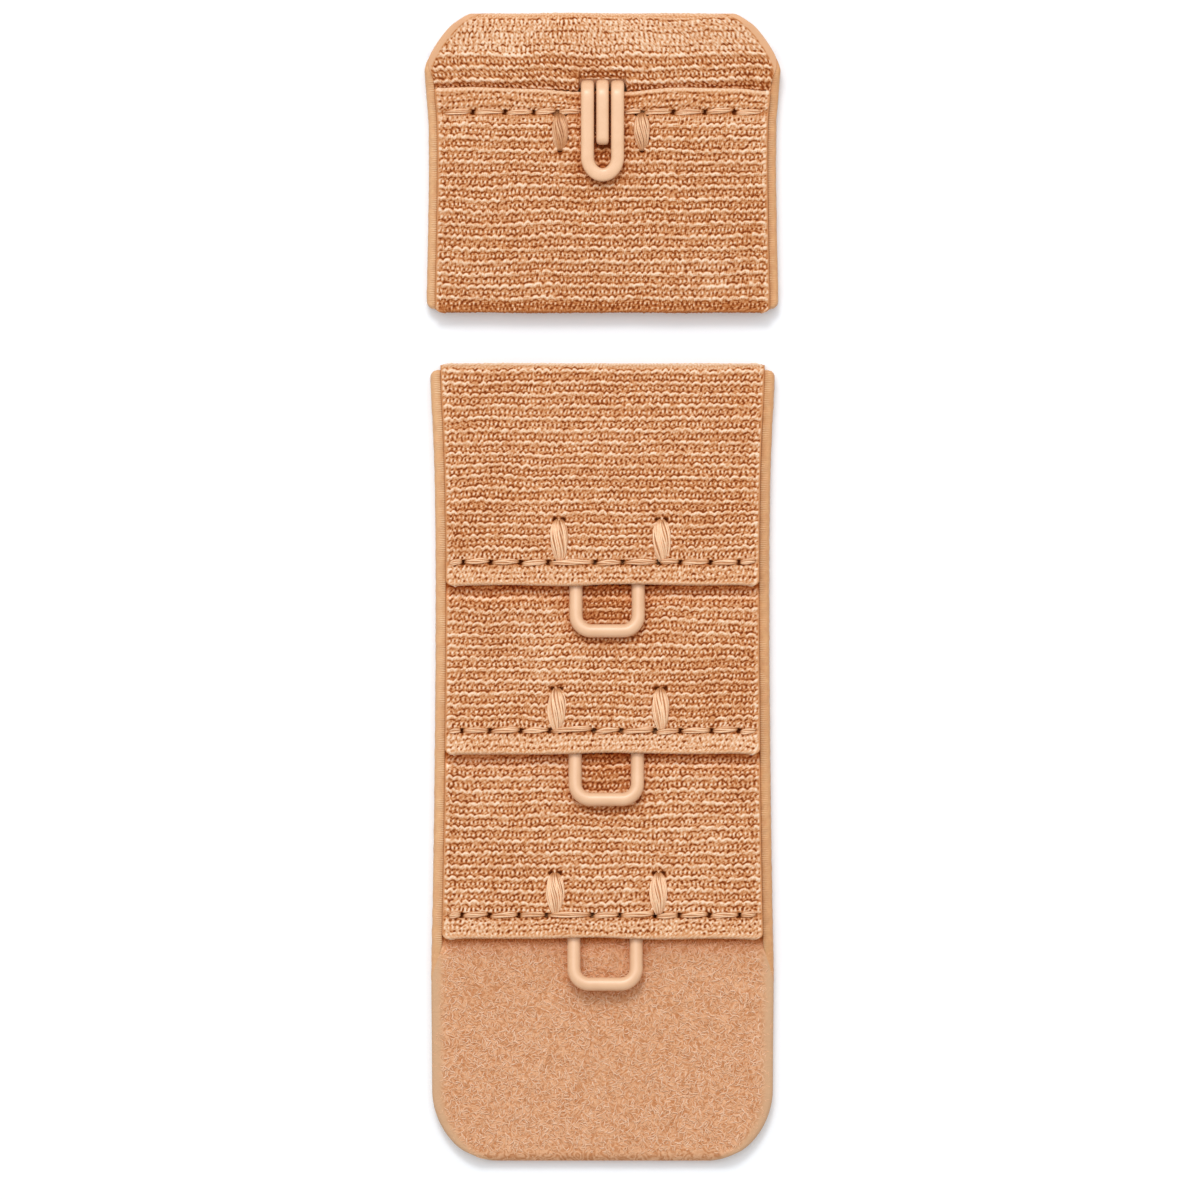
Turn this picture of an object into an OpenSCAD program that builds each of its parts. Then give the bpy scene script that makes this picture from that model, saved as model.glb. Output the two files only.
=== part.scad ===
// Hook and eye clasp: a short half with one hook and a long half with three rows of one eye each.
// Both halves lie flat, front face up, with the hook pointing at the eyes.

/* [Halves] */
// Length of the hook half, from its cut corners to its seam end
hook_half_length = 21.52; // [20:0.1:24]
// Width of the hook half at its widest, across the shoulders
hook_half_width = 25.66; // [24:0.1:28]
// Length of the eye half, from its seam end to its rounded end
eye_half_length = 57.42; // [54:0.1:62]
// Width of the eye half at its widest, near the seam end
eye_half_width = 24.86; // [23:0.1:28]
// Clear distance between the two halves as they lie
halves_apart = 3.68; // [2:0.1:8]

/* [Cloth] */
// Thickness of the brushed backing under the knitted layers
backing_thickness = 1.0; // [0.8:0.05:1.4]
// Thickness of the brushed tail that no knit covers
tail_thickness = 1.5; // [1.3:0.05:1.9]
// Thickness of one knitted layer
knit_thickness = 0.55; // [0.4:0.05:0.8]
// Cloth left over the hidden wires
cover_thickness = 0.42; // [0.35:0.01:0.7]
// Height of the folded end of the hook half
guard_height = 2.05; // [1.7:0.05:2.6]
// Depth of the valley that each row of stitches pulls in
stitch_valley = 0.16; // [0.08:0.02:0.24]
// Gap between two layers that touch
layer_gap = 0.05; // [0.04:0.01:0.1]

/* [Sealed edges] */
// Width of the sealed edges of the hook half
hook_edge_width = 0.62; // [0.5:0.02:0.9]
// Width of the sealed edges of the eye half
eye_edge_width = 0.74; // [0.5:0.02:1]
// Height of the sealed edges
edge_height = 1.45; // [1.1:0.05:1.7]

/* [Wire] */
// Diameter of the wire with its coating
wire_diameter = 0.96; // [0.8:0.02:1.1]
// Gap between a hidden wire and the cloth around it
wire_gap = 0.08; // [0.06:0.01:0.12]

/* [Hook] */
// From the end of the hook half to the bend of the hook
hook_setback = 4.82; // [4.4:0.05:6]
// Length of the bill, from the bend to its round end
bill_length = 7.31; // [6.4:0.05:8.4]
// Width of the bill
bill_width = 3.12; // [3.04:0.02:3.4]
// Length of the tongue inside the bill, from the bend to its tip
tongue_length = 4.58; // [3.8:0.05:5]
// Width of the tongue
tongue_width = 0.9; // [0.8:0.02:0.94]
// Height of the hook's wire, which is flatter than it is wide
hook_wire_height = 0.88; // [0.8:0.02:0.96]
// Radius of the round corners of the hook's wire
hook_wire_round = 0.26; // [0.2:0.02:0.34]
// Height of the bill over the panel that it lies on
bill_lift = 0.12; // [0.06:0.02:0.4]
// From the bend to the centres of the hidden loops
hook_loop_setback = 3.85; // [3.6:0.05:4.4]
// Height of the hidden wires' centre line in the hook half
shank_height = 1.3; // [1.2:0.02:1.4]
// Radius of the hidden loops' centre line in the hook half
hook_loop_radius = 1.05; // [0.8:0.05:1.3]

/* [Eyes] */
// Width of an eye
eye_width = 5.44; // [5:0.02:6]
// How far an eye stands out from its fold
eye_reach = 3.83; // [3.2:0.05:4.2]
// Radius of an eye's round corners, on the centre line
eye_corner = 1.1; // [0.8:0.05:1.6]
// From a fold to the centres of its eye's hidden loops
eye_loop_setback = 3.2; // [2.8:0.05:3.6]
// Radius of the hidden loops' centre line in the eye half
eye_loop_radius = 1.15; // [0.8:0.05:1.3]
// How much of the next layer lies hidden under a fold
tuck_length = 1.05; // [0.8:0.05:1.4]
// From a fold to its row of stitches
stitch_setback = 1.6; // [1.4:0.05:1.8]

/* [Hidden] */
$fn = 48;

plush_colour = "#d9bda6";
knit_colour = "#ddc0a6";
edge_colour = "#c9a47f";
coat_colour = "#e6cdb8";

// Side of the hook half. Columns: share of the length down from its cut end, share of half the width.
SHARE_DOWN = 0;
SHARE_HALF = 1;
hook_side = [
    [0.192, 1.0], [0.235, 0.994], [0.278, 0.988], [0.36, 0.977], [0.44, 0.975], [0.52, 0.975],
    [0.60, 0.976], [0.685, 0.978], [0.77, 0.981], [0.85, 0.984], [0.93, 0.987], [1.0, 0.987]];
// Half width of the straight cut across the hook half's end, as a share of half the width
hook_cut_share = 0.757;
hook_corner_power = 1.35;

// Side of the eye half. Columns as above, from its seam end.
eye_side = [
    [0.0, 1.0], [0.035, 0.995], [0.075, 0.985], [0.12, 0.976], [0.165, 0.971], [0.22, 0.968],
    [0.285, 0.967], [0.375, 0.968], [0.46, 0.971], [0.56, 0.976], [0.62, 0.980], [0.68, 0.985],
    [0.72, 0.989], [0.76, 0.992], [0.80, 0.991], [0.85, 0.989], [0.911, 0.987]];
// Half width of the straight end of the eye half, as a share of half the width
eye_flat_share = 0.64;
eye_corner_power = 1.9;

// Rows of eyes. Columns: shares of the eye half's length down to the row's upper edge and to its fold,
// length tucked in above the upper edge, as a share of tuck_length, and the eye's distance from the middle.
ROW_TOP = 0;
ROW_FOLD = 1;
ROW_TUCK = 2;
ROW_EYE = 3;
rows = [
    [0.0, 0.2774, 0, 0.33],
    [0.2774, 0.4885, 1, 0.27],
    [0.4885, 0.7199, 1, 0.18]];

total_length = hook_half_length + halves_apart + eye_half_length;
hook_top = total_length / 2;
hook_bottom = hook_top - hook_half_length;
eye_top = hook_bottom - halves_apart;
eye_bottom = eye_top - eye_half_length;
wire_radius = wire_diameter / 2;

// Heights of the eye half, from the backing up through the hidden wire to the cover over it
row_floor = backing_thickness + layer_gap;
row_start = row_floor + knit_thickness;
wire_at_fold = row_start + 2 * layer_gap + wire_radius;
row_height = wire_at_fold + wire_radius + wire_gap + cover_thickness;
row_lengths = [for (row = rows) (row[ROW_FOLD] - row[ROW_TOP]) * eye_half_length];
eye_tilt = atan((row_height - row_start) / min(row_lengths)) + 0.8;
tuck_slope = (row_height - row_start) / max(row_lengths);

// Heights of the hook half
panel_height = shank_height + hook_wire_height / 2 + wire_gap + cover_thickness;
panel_end_height = row_floor + 1.5 * knit_thickness;
bill_height = panel_height + bill_lift + hook_wire_height / 2;
bend_radius = (bill_height - shank_height) / 2;
bend_top = hook_top - hook_setback;
bend_y = bend_top - bend_radius - hook_wire_height / 2;
bend_z = (bill_height + shank_height) / 2;
bill_half = bill_width / 2 - wire_radius;
crease_y = bend_top - 0.67;
hook_loops_y = bend_top - hook_loop_setback;
loop_x = bill_half + hook_loop_radius;

// Points of an outline from the table of one side, mirrored to the other side
function side_y(side, top, length) = [for (row = side) top - row[SHARE_DOWN] * length];
function side_x(side, width, inset) = [for (row = side) row[SHARE_HALF] * width / 2 - inset];
// A corner that runs from flat_x on the end's line to side_x on the side, fuller as power grows
function corner(flat_x, end_y, side_x, side_y, power, steps) = [for (i = [0 : steps])
    let (a = 90 * i / steps)
    [flat_x + (side_x - flat_x) * pow(sin(a), 2 / power),
        side_y + (end_y - side_y) * pow(cos(a), 2 / power)]];
function mirrored(points) = [for (i = [len(points) - 1 : -1 : 0]) [-points[i][0], points[i][1]]];

hook_ys = side_y(hook_side, hook_top, hook_half_length);
hook_xs = side_x(hook_side, hook_half_width, 0);
hook_inner = side_x(hook_side, hook_half_width, hook_edge_width);
eye_ys = side_y(eye_side, eye_top, eye_half_length);
eye_xs = side_x(eye_side, eye_half_width, 0);
eye_inner = side_x(eye_side, eye_half_width, eye_edge_width);
// The sealed edges of the eye half stop at this row of its side table
eye_edge_end = 13;

function rows_of(xs, ys, from, to) = [for (i = [from : to]) [xs[i], ys[i]]];

// Guard: full width round the cut corners, then inside the sealed edges
guard_right = concat(
    corner(hook_cut_share * hook_half_width / 2, hook_top, hook_xs[0], hook_ys[0],
        hook_corner_power, 12),
    [for (i = [1 : len(hook_ys) - 1]) [hook_inner[i] - layer_gap, hook_ys[i]]]);
panel_right = [for (i = [0 : len(hook_ys) - 1]) [hook_inner[i] - layer_gap, hook_ys[i]]];
backing_right = concat(
    [for (i = [0 : eye_edge_end]) [eye_inner[i] - layer_gap, eye_ys[i]]],
    [[eye_xs[eye_edge_end], eye_ys[eye_edge_end] - layer_gap]],
    rows_of(eye_xs, eye_ys, eye_edge_end + 1, len(eye_ys) - 1),
    [for (i = [11 : -1 : 0]) corner(eye_flat_share * eye_half_width / 2, eye_bottom,
        eye_xs[len(eye_xs) - 1], eye_ys[len(eye_ys) - 1], eye_corner_power, 12)[i]]);
rows_right = [for (i = [0 : eye_edge_end]) [eye_inner[i] - layer_gap, eye_ys[i]]];

module outline(right) {
    polygon(concat(right, mirrored(right)));
}

// A side profile drawn as [y, z], drawn across the whole width
module across(width) {
    rotate([90, 0, 90])
        translate([0, 0, -width / 2])
            linear_extrude(height = width)
                children();
}

// A rod along Y from y1 to y2
module rod(x, y1, y2, z, radius) {
    translate([x, y1, z])
        rotate([-90, 0, 0])
            cylinder(r = radius, h = y2 - y1);
}

module hook_guard() {
    nose = guard_height / 2;
    color(plush_colour)
        difference() {
            intersection() {
                linear_extrude(height = guard_height + 1) outline(guard_right);
                across(hook_half_width + 2)
                    union() {
                        polygon([[hook_bottom + 0.2, 0], [hook_top - nose, 0],
                            [hook_top - nose, guard_height], [crease_y + 2.4, guard_height],
                            [crease_y + 0.15, guard_height - 0.35],
                            [crease_y + 0.1, backing_thickness], [hook_bottom + 0.2, backing_thickness]]);
                        translate([hook_top - nose, nose]) circle(r = nose);
                    }
            }
            hook_pocket();
            bend_notch(bend_top + wire_gap);
        }
}

module hook_panel() {
    nose = (panel_height - row_floor) / 2;
    color(knit_colour)
        difference() {
            intersection() {
                linear_extrude(height = panel_height + 1) outline(panel_right);
                across(hook_half_width + 2)
                    union() {
                        polygon([[hook_bottom + 0.25, row_floor], [crease_y - nose, row_floor],
                            [crease_y - nose, panel_height], [crease_y - 5.5, panel_height],
                            [hook_bottom + 0.25, panel_end_height], [hook_bottom, panel_end_height - 0.3],
                            [hook_bottom, row_floor + 0.2]]);
                        translate([crease_y - nose, row_floor + nose]) circle(r = nose);
                    }
            }
            hook_pocket();
            bend_notch_over_panel();
            stitch_line(crease_y - 1.6, panel_height, 0, hook_half_width + 2);
        }
}

// Space for the hidden wires of the hook
module hook_pocket() {
    reach = loop_x + hook_loop_radius + wire_radius + wire_gap;
    low = hook_loops_y - hook_loop_radius - wire_radius - wire_gap;
    translate([-reach, low, shank_height - hook_wire_height / 2 - wire_gap])
        cube([2 * reach, bend_y + 0.02 - low, hook_wire_height + 2 * wire_gap]);
}

// Space for the bend of the hook, from its middle to the given line
module bend_notch(to_y) {
    reach = bill_width / 2 + wire_gap;
    translate([-reach, bend_y, shank_height - hook_wire_height / 2 - wire_gap])
        cube([2 * reach, to_y - bend_y, bill_height + 4]);
}

module bend_notch_over_panel() {
    bend_notch(crease_y + 2);
}

// A shallow valley along a row of stitches
module stitch_line(y, z, tilt, width) {
    radius = 0.6;
    translate([-width / 2, y, z + radius - stitch_valley])
        rotate([tilt, 0, 0])
            rotate([0, 90, 0])
                cylinder(r = radius, h = width);
}

// Section of the hook's wire, flat-faced with round corners
module section(width, height) {
    round = hook_wire_round;
    union() {
        square([width, height - 2 * round], center = true);
        square([width - 2 * round, height], center = true);
        for (x = [-1, 1]) for (y = [-1, 1])
            translate([x * (width / 2 - round), y * (height / 2 - round)]) circle(r = round);
    }
}

// A straight length of the hook's wire along Y
module bar(x, y1, y2, z, width) {
    translate([x, y1, z])
        rotate([-90, 0, 0])
            linear_extrude(height = y2 - y1)
                section(width, hook_wire_height);
}

// Half a turn over the panel, from the shank to the bill
module bend(x, width) {
    translate([x, bend_y, bend_z])
        rotate([90, 0, 90])
            rotate([0, 0, -90])
                rotate_extrude(angle = 180)
                    translate([bend_radius, 0])
                        section(hook_wire_height, width);
}

// An arc of the hook's wire that lies flat
module flat_arc(x, y, z, radius, start, angle) {
    translate([x, y, z])
        rotate([0, 0, start])
            rotate_extrude(angle = angle)
                translate([radius, 0])
                    section(wire_diameter, hook_wire_height);
}

module hook() {
    bill_end_y = bend_top - bill_length + wire_radius + bill_half;
    tip = hook_wire_height / 2;
    tip_y = bend_top - tongue_length + hook_wire_height;
    color(coat_colour)
        union() {
            for (side = [-1, 1]) {
                bar(side * bill_half, bill_end_y, bend_y, bill_height, wire_diameter);
                bend(side * bill_half, wire_diameter);
                bar(side * bill_half, hook_loops_y, bend_y, shank_height, wire_diameter);
                flat_arc(side * loop_x, hook_loops_y, shank_height, hook_loop_radius,
                    side > 0 ? -90 : 0, 270);
            }
            flat_arc(0, bill_end_y, bill_height, bill_half, 180, 180);
            bar(0, tip_y, bend_y, bill_height, tongue_width);
            // The tongue's end turns down to the panel
            translate([0, tip_y, bill_height - tip])
                rotate([90, 0, 90])
                    rotate([0, 0, 90])
                        rotate_extrude(angle = 90)
                            translate([tip, 0])
                                section(hook_wire_height, tongue_width);
            bend(0, tongue_width);
            bar(0, bend_y - 1.6, bend_y, shank_height, tongue_width);
            translate([-bill_half, bend_y - 1.6, shank_height])
                rotate([0, 90, 0])
                    cylinder(r = hook_wire_height / 2 - 0.04, h = 2 * bill_half);
        }
}

// A sealed edge: its foot's outline, and the narrower outline of its top
module edge_strip(foot, top, side) {
    color(edge_colour)
        scale([side, 1, 1])
            union() {
                linear_extrude(height = edge_height - 0.25) polygon(foot);
                translate([0, 0, edge_height - 0.25])
                    linear_extrude(height = 0.25)
                        polygon(top);
            }
}

module hook_strip(side) {
    // The strip's upper end follows the slant of the guard's shoulder
    last = len(hook_ys) - 1;
    slant_gap = 3 * layer_gap;
    ys = [for (i = [0 : last]) i == 0 ? hook_ys[0] - slant_gap
        : i == last ? hook_ys[i] + 0.26 : hook_ys[i]];
    inner = [for (i = [last : -1 : 1])
        [hook_xs[i] - hook_edge_width, i == 1 ? ys[1] - slant_gap : ys[i]]];
    edge_strip(concat([for (i = [0 : last]) [hook_xs[i], ys[i]]], inner),
        concat([[hook_xs[0] - 0.22, ys[0] - 0.22]],
            [for (i = [1 : last]) [hook_xs[i] - 0.2, ys[i]]], inner), side);
}

module eye_strip(side) {
    last = eye_edge_end;
    ys = [for (i = [0 : last])
        i == 0 ? eye_ys[0] - 0.45 : i == last ? eye_ys[i] + layer_gap : eye_ys[i]];
    inner = [for (i = [last : -1 : 0]) [eye_xs[i] - eye_edge_width, ys[i]]];
    edge_strip(concat([for (i = [0 : last]) [eye_xs[i], ys[i]]], inner),
        concat([for (i = [0 : last]) [eye_xs[i] - 0.2, ys[i]]], inner), side);
}

function row_y(k, column) = eye_top - rows[k][column] * eye_half_length;

// Space for the hidden part of an eye, between the backing and its flap
module eye_pocket(k) {
    fold_y = row_y(k, ROW_FOLD);
    reach = eye_width / 2 - wire_radius + 2 * eye_loop_radius + wire_radius + wire_gap;
    depth = eye_loop_setback + eye_loop_radius + wire_radius + wire_gap;
    translate([rows[k][ROW_EYE], fold_y, wire_at_fold])
        rotate([-eye_tilt, 0, 0])
            translate([-reach, -4, -wire_radius - wire_gap])
                cube([2 * reach, 4 + depth, wire_diameter + 2 * wire_gap]);
}

module eye_backing() {
    nose = tail_thickness / 2;
    tail_y = row_y(2, ROW_FOLD) + tuck_length;
    color(plush_colour)
        difference() {
            intersection() {
                linear_extrude(height = tail_thickness + 1) outline(backing_right);
                across(eye_half_width + 2)
                    union() {
                        polygon([[eye_top - 0.1, 0], [eye_top - 0.1, backing_thickness],
                            [tail_y, backing_thickness],
                            [tail_y, tail_thickness - tuck_length * tuck_slope],
                            [tail_y - tuck_length, tail_thickness],
                            [eye_bottom + nose, tail_thickness], [eye_bottom + nose, 0]]);
                        translate([eye_bottom + nose, nose]) circle(r = nose);
                    }
            }
            for (k = [0 : 1]) eye_pocket(k);
            eye_pocket_in_tail();
        }
}

// The last eye lies over the tail, so only its hidden part is cut out there
module eye_pocket_in_tail() {
    intersection() {
        eye_pocket(2);
        translate([-eye_half_width, row_y(2, ROW_FOLD) + 0.3, 0])
            cube([2 * eye_half_width, eye_half_width, 9]);
    }
}

module eye_panel(k) {
    top_y = row_y(k, ROW_TOP);
    fold_y = row_y(k, ROW_FOLD);
    tuck = rows[k][ROW_TUCK] * tuck_length;
    slope = (row_height - row_start) / (top_y - fold_y);
    under = row_start + layer_gap;
    nose = (row_height - under) / 2;
    stitch_z = row_height - slope * stitch_setback;
    color(knit_colour)
        difference() {
            intersection() {
                linear_extrude(height = row_height + 1) outline(rows_right);
                across(eye_half_width + 2)
                    union() {
                        polygon([[top_y + tuck, row_floor], [top_y + tuck, row_start - slope * tuck],
                            [top_y, row_start], [fold_y + nose, row_height], [fold_y + nose, under],
                            [fold_y + tuck_length + layer_gap, under],
                            [fold_y + tuck_length + layer_gap, row_floor]]);
                        translate([fold_y + nose, under + nose]) circle(r = nose);
                    }
            }
            eye_pocket(k);
            stitch_line(fold_y + stitch_setback, stitch_z, 0, eye_half_width + 2);
        }
}

module eye(k) {
    fold_y = row_y(k, ROW_FOLD);
    leg_x = eye_width / 2 - wire_radius;
    low = -eye_reach + wire_radius;
    color(coat_colour)
        translate([rows[k][ROW_EYE], fold_y, wire_at_fold])
            rotate([-eye_tilt, 0, 0])
                union() {
                    for (side = [-1, 1]) {
                        rod(side * leg_x, low + eye_corner, eye_loop_setback, 0, wire_radius);
                        translate([side * (leg_x + eye_loop_radius), eye_loop_setback, 0])
                            rotate([0, 0, side > 0 ? -90 : 0])
                                rotate_extrude(angle = 270)
                                    translate([eye_loop_radius, 0])
                                        circle(r = wire_radius);
                        translate([side * (leg_x - eye_corner), low + eye_corner, 0])
                            rotate([0, 0, side > 0 ? 270 : 180])
                                rotate_extrude(angle = 90)
                                    translate([eye_corner, 0])
                                        circle(r = wire_radius);
                    }
                    translate([-(leg_x - eye_corner), low, 0])
                        rotate([0, 90, 0])
                            cylinder(r = wire_radius, h = 2 * (leg_x - eye_corner));
                }
}

module hook_edge_left() hook_strip(-1);
module hook_edge_right() hook_strip(1);
module eye_panel_1() eye_panel(0);
module eye_panel_2() eye_panel(1);
module eye_panel_3() eye_panel(2);
module eye_1() eye(0);
module eye_2() eye(1);
module eye_3() eye(2);
module eye_edge_left() eye_strip(-1);
module eye_edge_right() eye_strip(1);

hook_guard();
hook_panel();
hook();
hook_edge_left();
hook_edge_right();
eye_backing();
eye_panel_1();
eye_panel_2();
eye_panel_3();
eye_1();
eye_2();
eye_3();
eye_edge_left();
eye_edge_right();
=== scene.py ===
import math

import bpy
import numpy as np
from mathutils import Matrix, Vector


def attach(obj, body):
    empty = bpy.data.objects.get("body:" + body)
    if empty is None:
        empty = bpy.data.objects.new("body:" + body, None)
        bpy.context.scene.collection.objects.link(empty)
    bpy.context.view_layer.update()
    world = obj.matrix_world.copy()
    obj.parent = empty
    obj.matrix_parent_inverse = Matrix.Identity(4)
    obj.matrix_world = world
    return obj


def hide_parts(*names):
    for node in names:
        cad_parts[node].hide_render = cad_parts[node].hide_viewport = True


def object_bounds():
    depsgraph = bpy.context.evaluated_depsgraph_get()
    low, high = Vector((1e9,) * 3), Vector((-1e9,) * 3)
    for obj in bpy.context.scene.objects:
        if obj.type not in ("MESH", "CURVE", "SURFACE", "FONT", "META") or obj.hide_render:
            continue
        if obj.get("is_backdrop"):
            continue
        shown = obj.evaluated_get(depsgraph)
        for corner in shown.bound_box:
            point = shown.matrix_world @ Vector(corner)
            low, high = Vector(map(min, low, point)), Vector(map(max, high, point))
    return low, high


# Lengths in this script are in millimetres, and become metres where a mesh is made.

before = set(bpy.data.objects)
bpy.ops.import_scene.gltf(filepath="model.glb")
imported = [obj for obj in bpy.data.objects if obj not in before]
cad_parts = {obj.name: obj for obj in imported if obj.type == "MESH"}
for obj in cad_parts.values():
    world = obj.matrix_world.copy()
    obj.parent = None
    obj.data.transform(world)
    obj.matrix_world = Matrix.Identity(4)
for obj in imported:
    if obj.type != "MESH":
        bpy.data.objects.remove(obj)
cad_low, cad_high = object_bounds()
MM = 0.001

# The two ends in y, as in the CAD model, which all the measures below follow
HOOK_TOP, EYE_END = 41.31, -41.31
# Rows: y where each starts, and y of its fold
TOPS, FOLDS = [16.11, 0.18, -11.94], [0.18, -11.94, -25.23]
# Heights of the rear layers, of a row's start and fold, and of the tail
FLAT_Z, START_Z, ROW_Z, TAIL_Z = 1.05, 1.60, 3.14, 1.42
# Widths of the sealed edges
HOOK_EDGE, EYE_EDGE = 0.62, 0.74
# Outlines of both halves: y, and half the width there
HOOK_SIDE = np.array([
    (41.31, 12.83), (37.18, 12.83), (36.25, 12.75), (35.3, 12.68), (33.6, 12.54), (31.8, 12.51),
    (30.1, 12.51), (28.4, 12.52), (26.6, 12.55), (24.7, 12.58), (23.0, 12.62), (21.3, 12.66),
    (19.79, 12.66)]).T
EYE_SIDE = np.array([
    (16.11, 12.43), (14.1, 12.37), (11.8, 12.24), (9.2, 12.13), (6.6, 12.07), (3.5, 12.03),
    (-0.3, 12.02), (-5.4, 12.03), (-10.3, 12.07), (-16.0, 12.13), (-19.5, 12.18), (-22.9, 12.24),
    (-25.2, 12.29), (-27.5, 12.33), (-29.8, 12.32), (-32.7, 12.29), (-36.2, 12.27)]).T

# Wire eyes: x of each, then the wire's thickness, its height at the fold, and its tilt
EYE_X = [0.33, 0.27, 0.18]
WIRE, WIRE_Z, EYE_TILT = 0.96, 2.18, math.radians(7.95)
# Half the distance between their legs, their lowest point from the fold, and their corner radius
EYE_LEG, EYE_LOW, EYE_TURN = 2.24, -3.35, 1.12

# Wire hook: heights of its shank and bill, and the top of its bend in y
SHANK_Z, BILL_Z, BEND_TOP = 1.30, 2.80, 36.49
# Half width of its bill, lowest point, and length of the rounded end
BILL_HALF, BILL_LOW, BILL_END = 1.08, 29.66, 1.30

# Stitches: x of the holes of each running seam, and x, upper and lower end of each bar tack
HOOK_STITCH_Y, ROW_STITCH_Y = 34.19, [1.78, -10.33, -23.60]
HOOK_HOLES = [-9.32, -7.02, -4.94, -3.26, 2.87, 5.09, 7.37, 9.50]
ROW_HOLES = [
    [-10.02, -8.04, -5.90, -3.91, -0.55, 1.44, 4.03, 5.59, 7.76, 9.81],
    [-10.12, -8.11, -5.87, -3.80, -0.62, 1.32, 3.76, 5.59, 7.84, 9.81],
    [-10.12, -8.15, -6.02, -4.04, -0.75, 1.24, 3.80, 5.51, 7.68, 9.86]]
HOOK_TACKS = [(x, 34.10, 31.42) for x in (-3.06, 2.84)]
ROW_TACKS = [[(x, upper, lower) for x in pair] for pair, upper, lower in (
    ((-3.11, 4.25), 4.88, 1.84), ((-3.30, 4.19), -7.28, -10.33), ((-3.40, 4.05), -20.55, -23.55))]

# First line, pitch and number of the knit's courses in each row
COURSES = [(15.534, 0.850, 16), (0.09, 0.864, 12), (-11.973, 0.8967, 13)]

# Step of the knit's mesh, gap beside a sealed edge, depth that relief rises from, and bare height
GRID, CLEAR, SINK, BARE = 0.075, 0.004, 0.13, 0.14
# Points under BACK_Z are on an underside, and points over FACE_Z on an upper side
BACK_Z, FACE_Z = 0.3, 0.9
RIGHT, UP = (1, 0, 0), (0, 0, 1)


def step(a, b, v):
    t = np.clip((np.asarray(v, float) - a) / (b - a), 0, 1)
    return t * t * (3 - 2 * t)


def bell(v, width):
    return np.exp(-(v / width) ** 2)


def half_width(y, sides, start, end, power):
    """Half a width at y. From the point start on, a rounded corner curves in to the point end."""
    y = np.asarray(y, float)
    t = np.clip((y - start[0]) / (end[0] - start[0]), 0, 1)
    cut = end[1] + (start[1] - end[1]) * (1 - t ** power) ** (1 / power)
    return np.where(t > 0, cut, np.interp(-y, -sides[0], sides[1]))


def hook_half(y):
    return half_width(y, HOOK_SIDE, (37.18, 12.83), (HOOK_TOP, 9.72), 1.35)


def eye_half(y):
    return half_width(y, EYE_SIDE, (-36.2, 12.27), (EYE_END, 7.96), 1.9)


def hook_strip(y):
    """Width of the sealed edge along the hook half, which runs out at the cut corner."""
    return HOOK_EDGE * (1 - step(36.3, 38.3, y))


def eye_strip(y):
    """Width of the sealed edge along the eye half, which runs out on the tail."""
    return EYE_EDGE * step(-28.6, -25.4, y)


def row_height(k, y):
    """Height of a row's upper face at y: it rises over the row below."""
    return START_Z + (ROW_Z - START_Z) * (TOPS[k] - y) / (TOPS[k] - FOLDS[k])


def side_drop(away):
    """How far the tail's rounded side lies below its upper face, at a distance from the outline."""
    r = 0.35
    return r - np.sqrt(np.clip(r * r - np.clip(r - away, 0, r) ** 2, 0, 1))


def corner(d, r):
    """How far a rounded corner of radius r stands in, at the distance d from the end."""
    t = np.clip(1 - np.asarray(d, float) / r, 0, 1)
    return r * (1 - np.sqrt(1 - t ** 2))


def crease_dip(x):
    """How the folded edge of the hook panel dips beside the hook and at its right end."""
    beside_hook = bell(np.abs(x) - 1.4, 2.4)
    return -0.27 * beside_hook - 0.22 * step(9.5, 12.0, x) - 0.03 * np.sin(x * 0.9)


class Waves:
    """Smooth seeded noise: a sum of plane waves with about unit spread."""

    def __init__(self, seed, count, shortest, longest):
        g = np.random.default_rng(seed)
        way = g.uniform(0, 2 * math.pi, count)
        k = 2 * math.pi / g.uniform(shortest, longest, count)
        self.kx, self.ky = k * np.cos(way), k * np.sin(way)
        self.phase = g.uniform(0, 2 * math.pi, count)
        self.scale = 1 / math.sqrt(count / 2)

    def __call__(self, x, y):
        x, y = np.broadcast_arrays(np.asarray(x, float), np.asarray(y, float))
        out = np.zeros(x.shape)
        for kx, ky, p in zip(self.kx, self.ky, self.phase):
            out += np.sin(kx * x + ky * y + p)
        return out * self.scale


def walk(g, start, end, shortest, longest):
    """Points from start to end with random gaps between them."""
    gaps = g.uniform(shortest, longest, int((end - start) / shortest) + 2)
    at = start + np.cumsum(gaps)
    return at[at < end]


def line_noise(g, x, shortest, longest):
    """Smooth noise along a line, with about unit spread."""
    at = walk(g, x[0] - longest, x[-1] + 2 * longest, shortest, longest)
    value = g.normal(0, 1, len(at))
    i = np.clip(np.searchsorted(at, x) - 1, 0, len(at) - 2)
    t = step(0, 1, (x - at[i]) / (at[i + 1] - at[i]))
    return value[i] * (1 - t) + value[i + 1] * t


def uneven(g, x, mean, spread, shortest, longest, most, least=0):
    """A strength that varies along a line, from least to most."""
    return np.clip(mean + spread * line_noise(g, x, shortest, longest), least, most)


def humps(g, x, half, widths, heights):
    """A line of joined humps of random widths and heights, and the dips between them."""
    dips = walk(g, -half - 1, half + 2, *widths)
    mid, wide = (dips[1:] + dips[:-1]) / 2, np.diff(dips)
    tall = g.uniform(*heights, len(mid))
    i = np.clip(np.searchsorted(dips, x) - 1, 0, len(mid) - 1)
    return tall[i] * (np.clip(2 * np.abs(x - mid[i]) / wide[i], 0, 1) ** 2 - 0.4), dips


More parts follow.
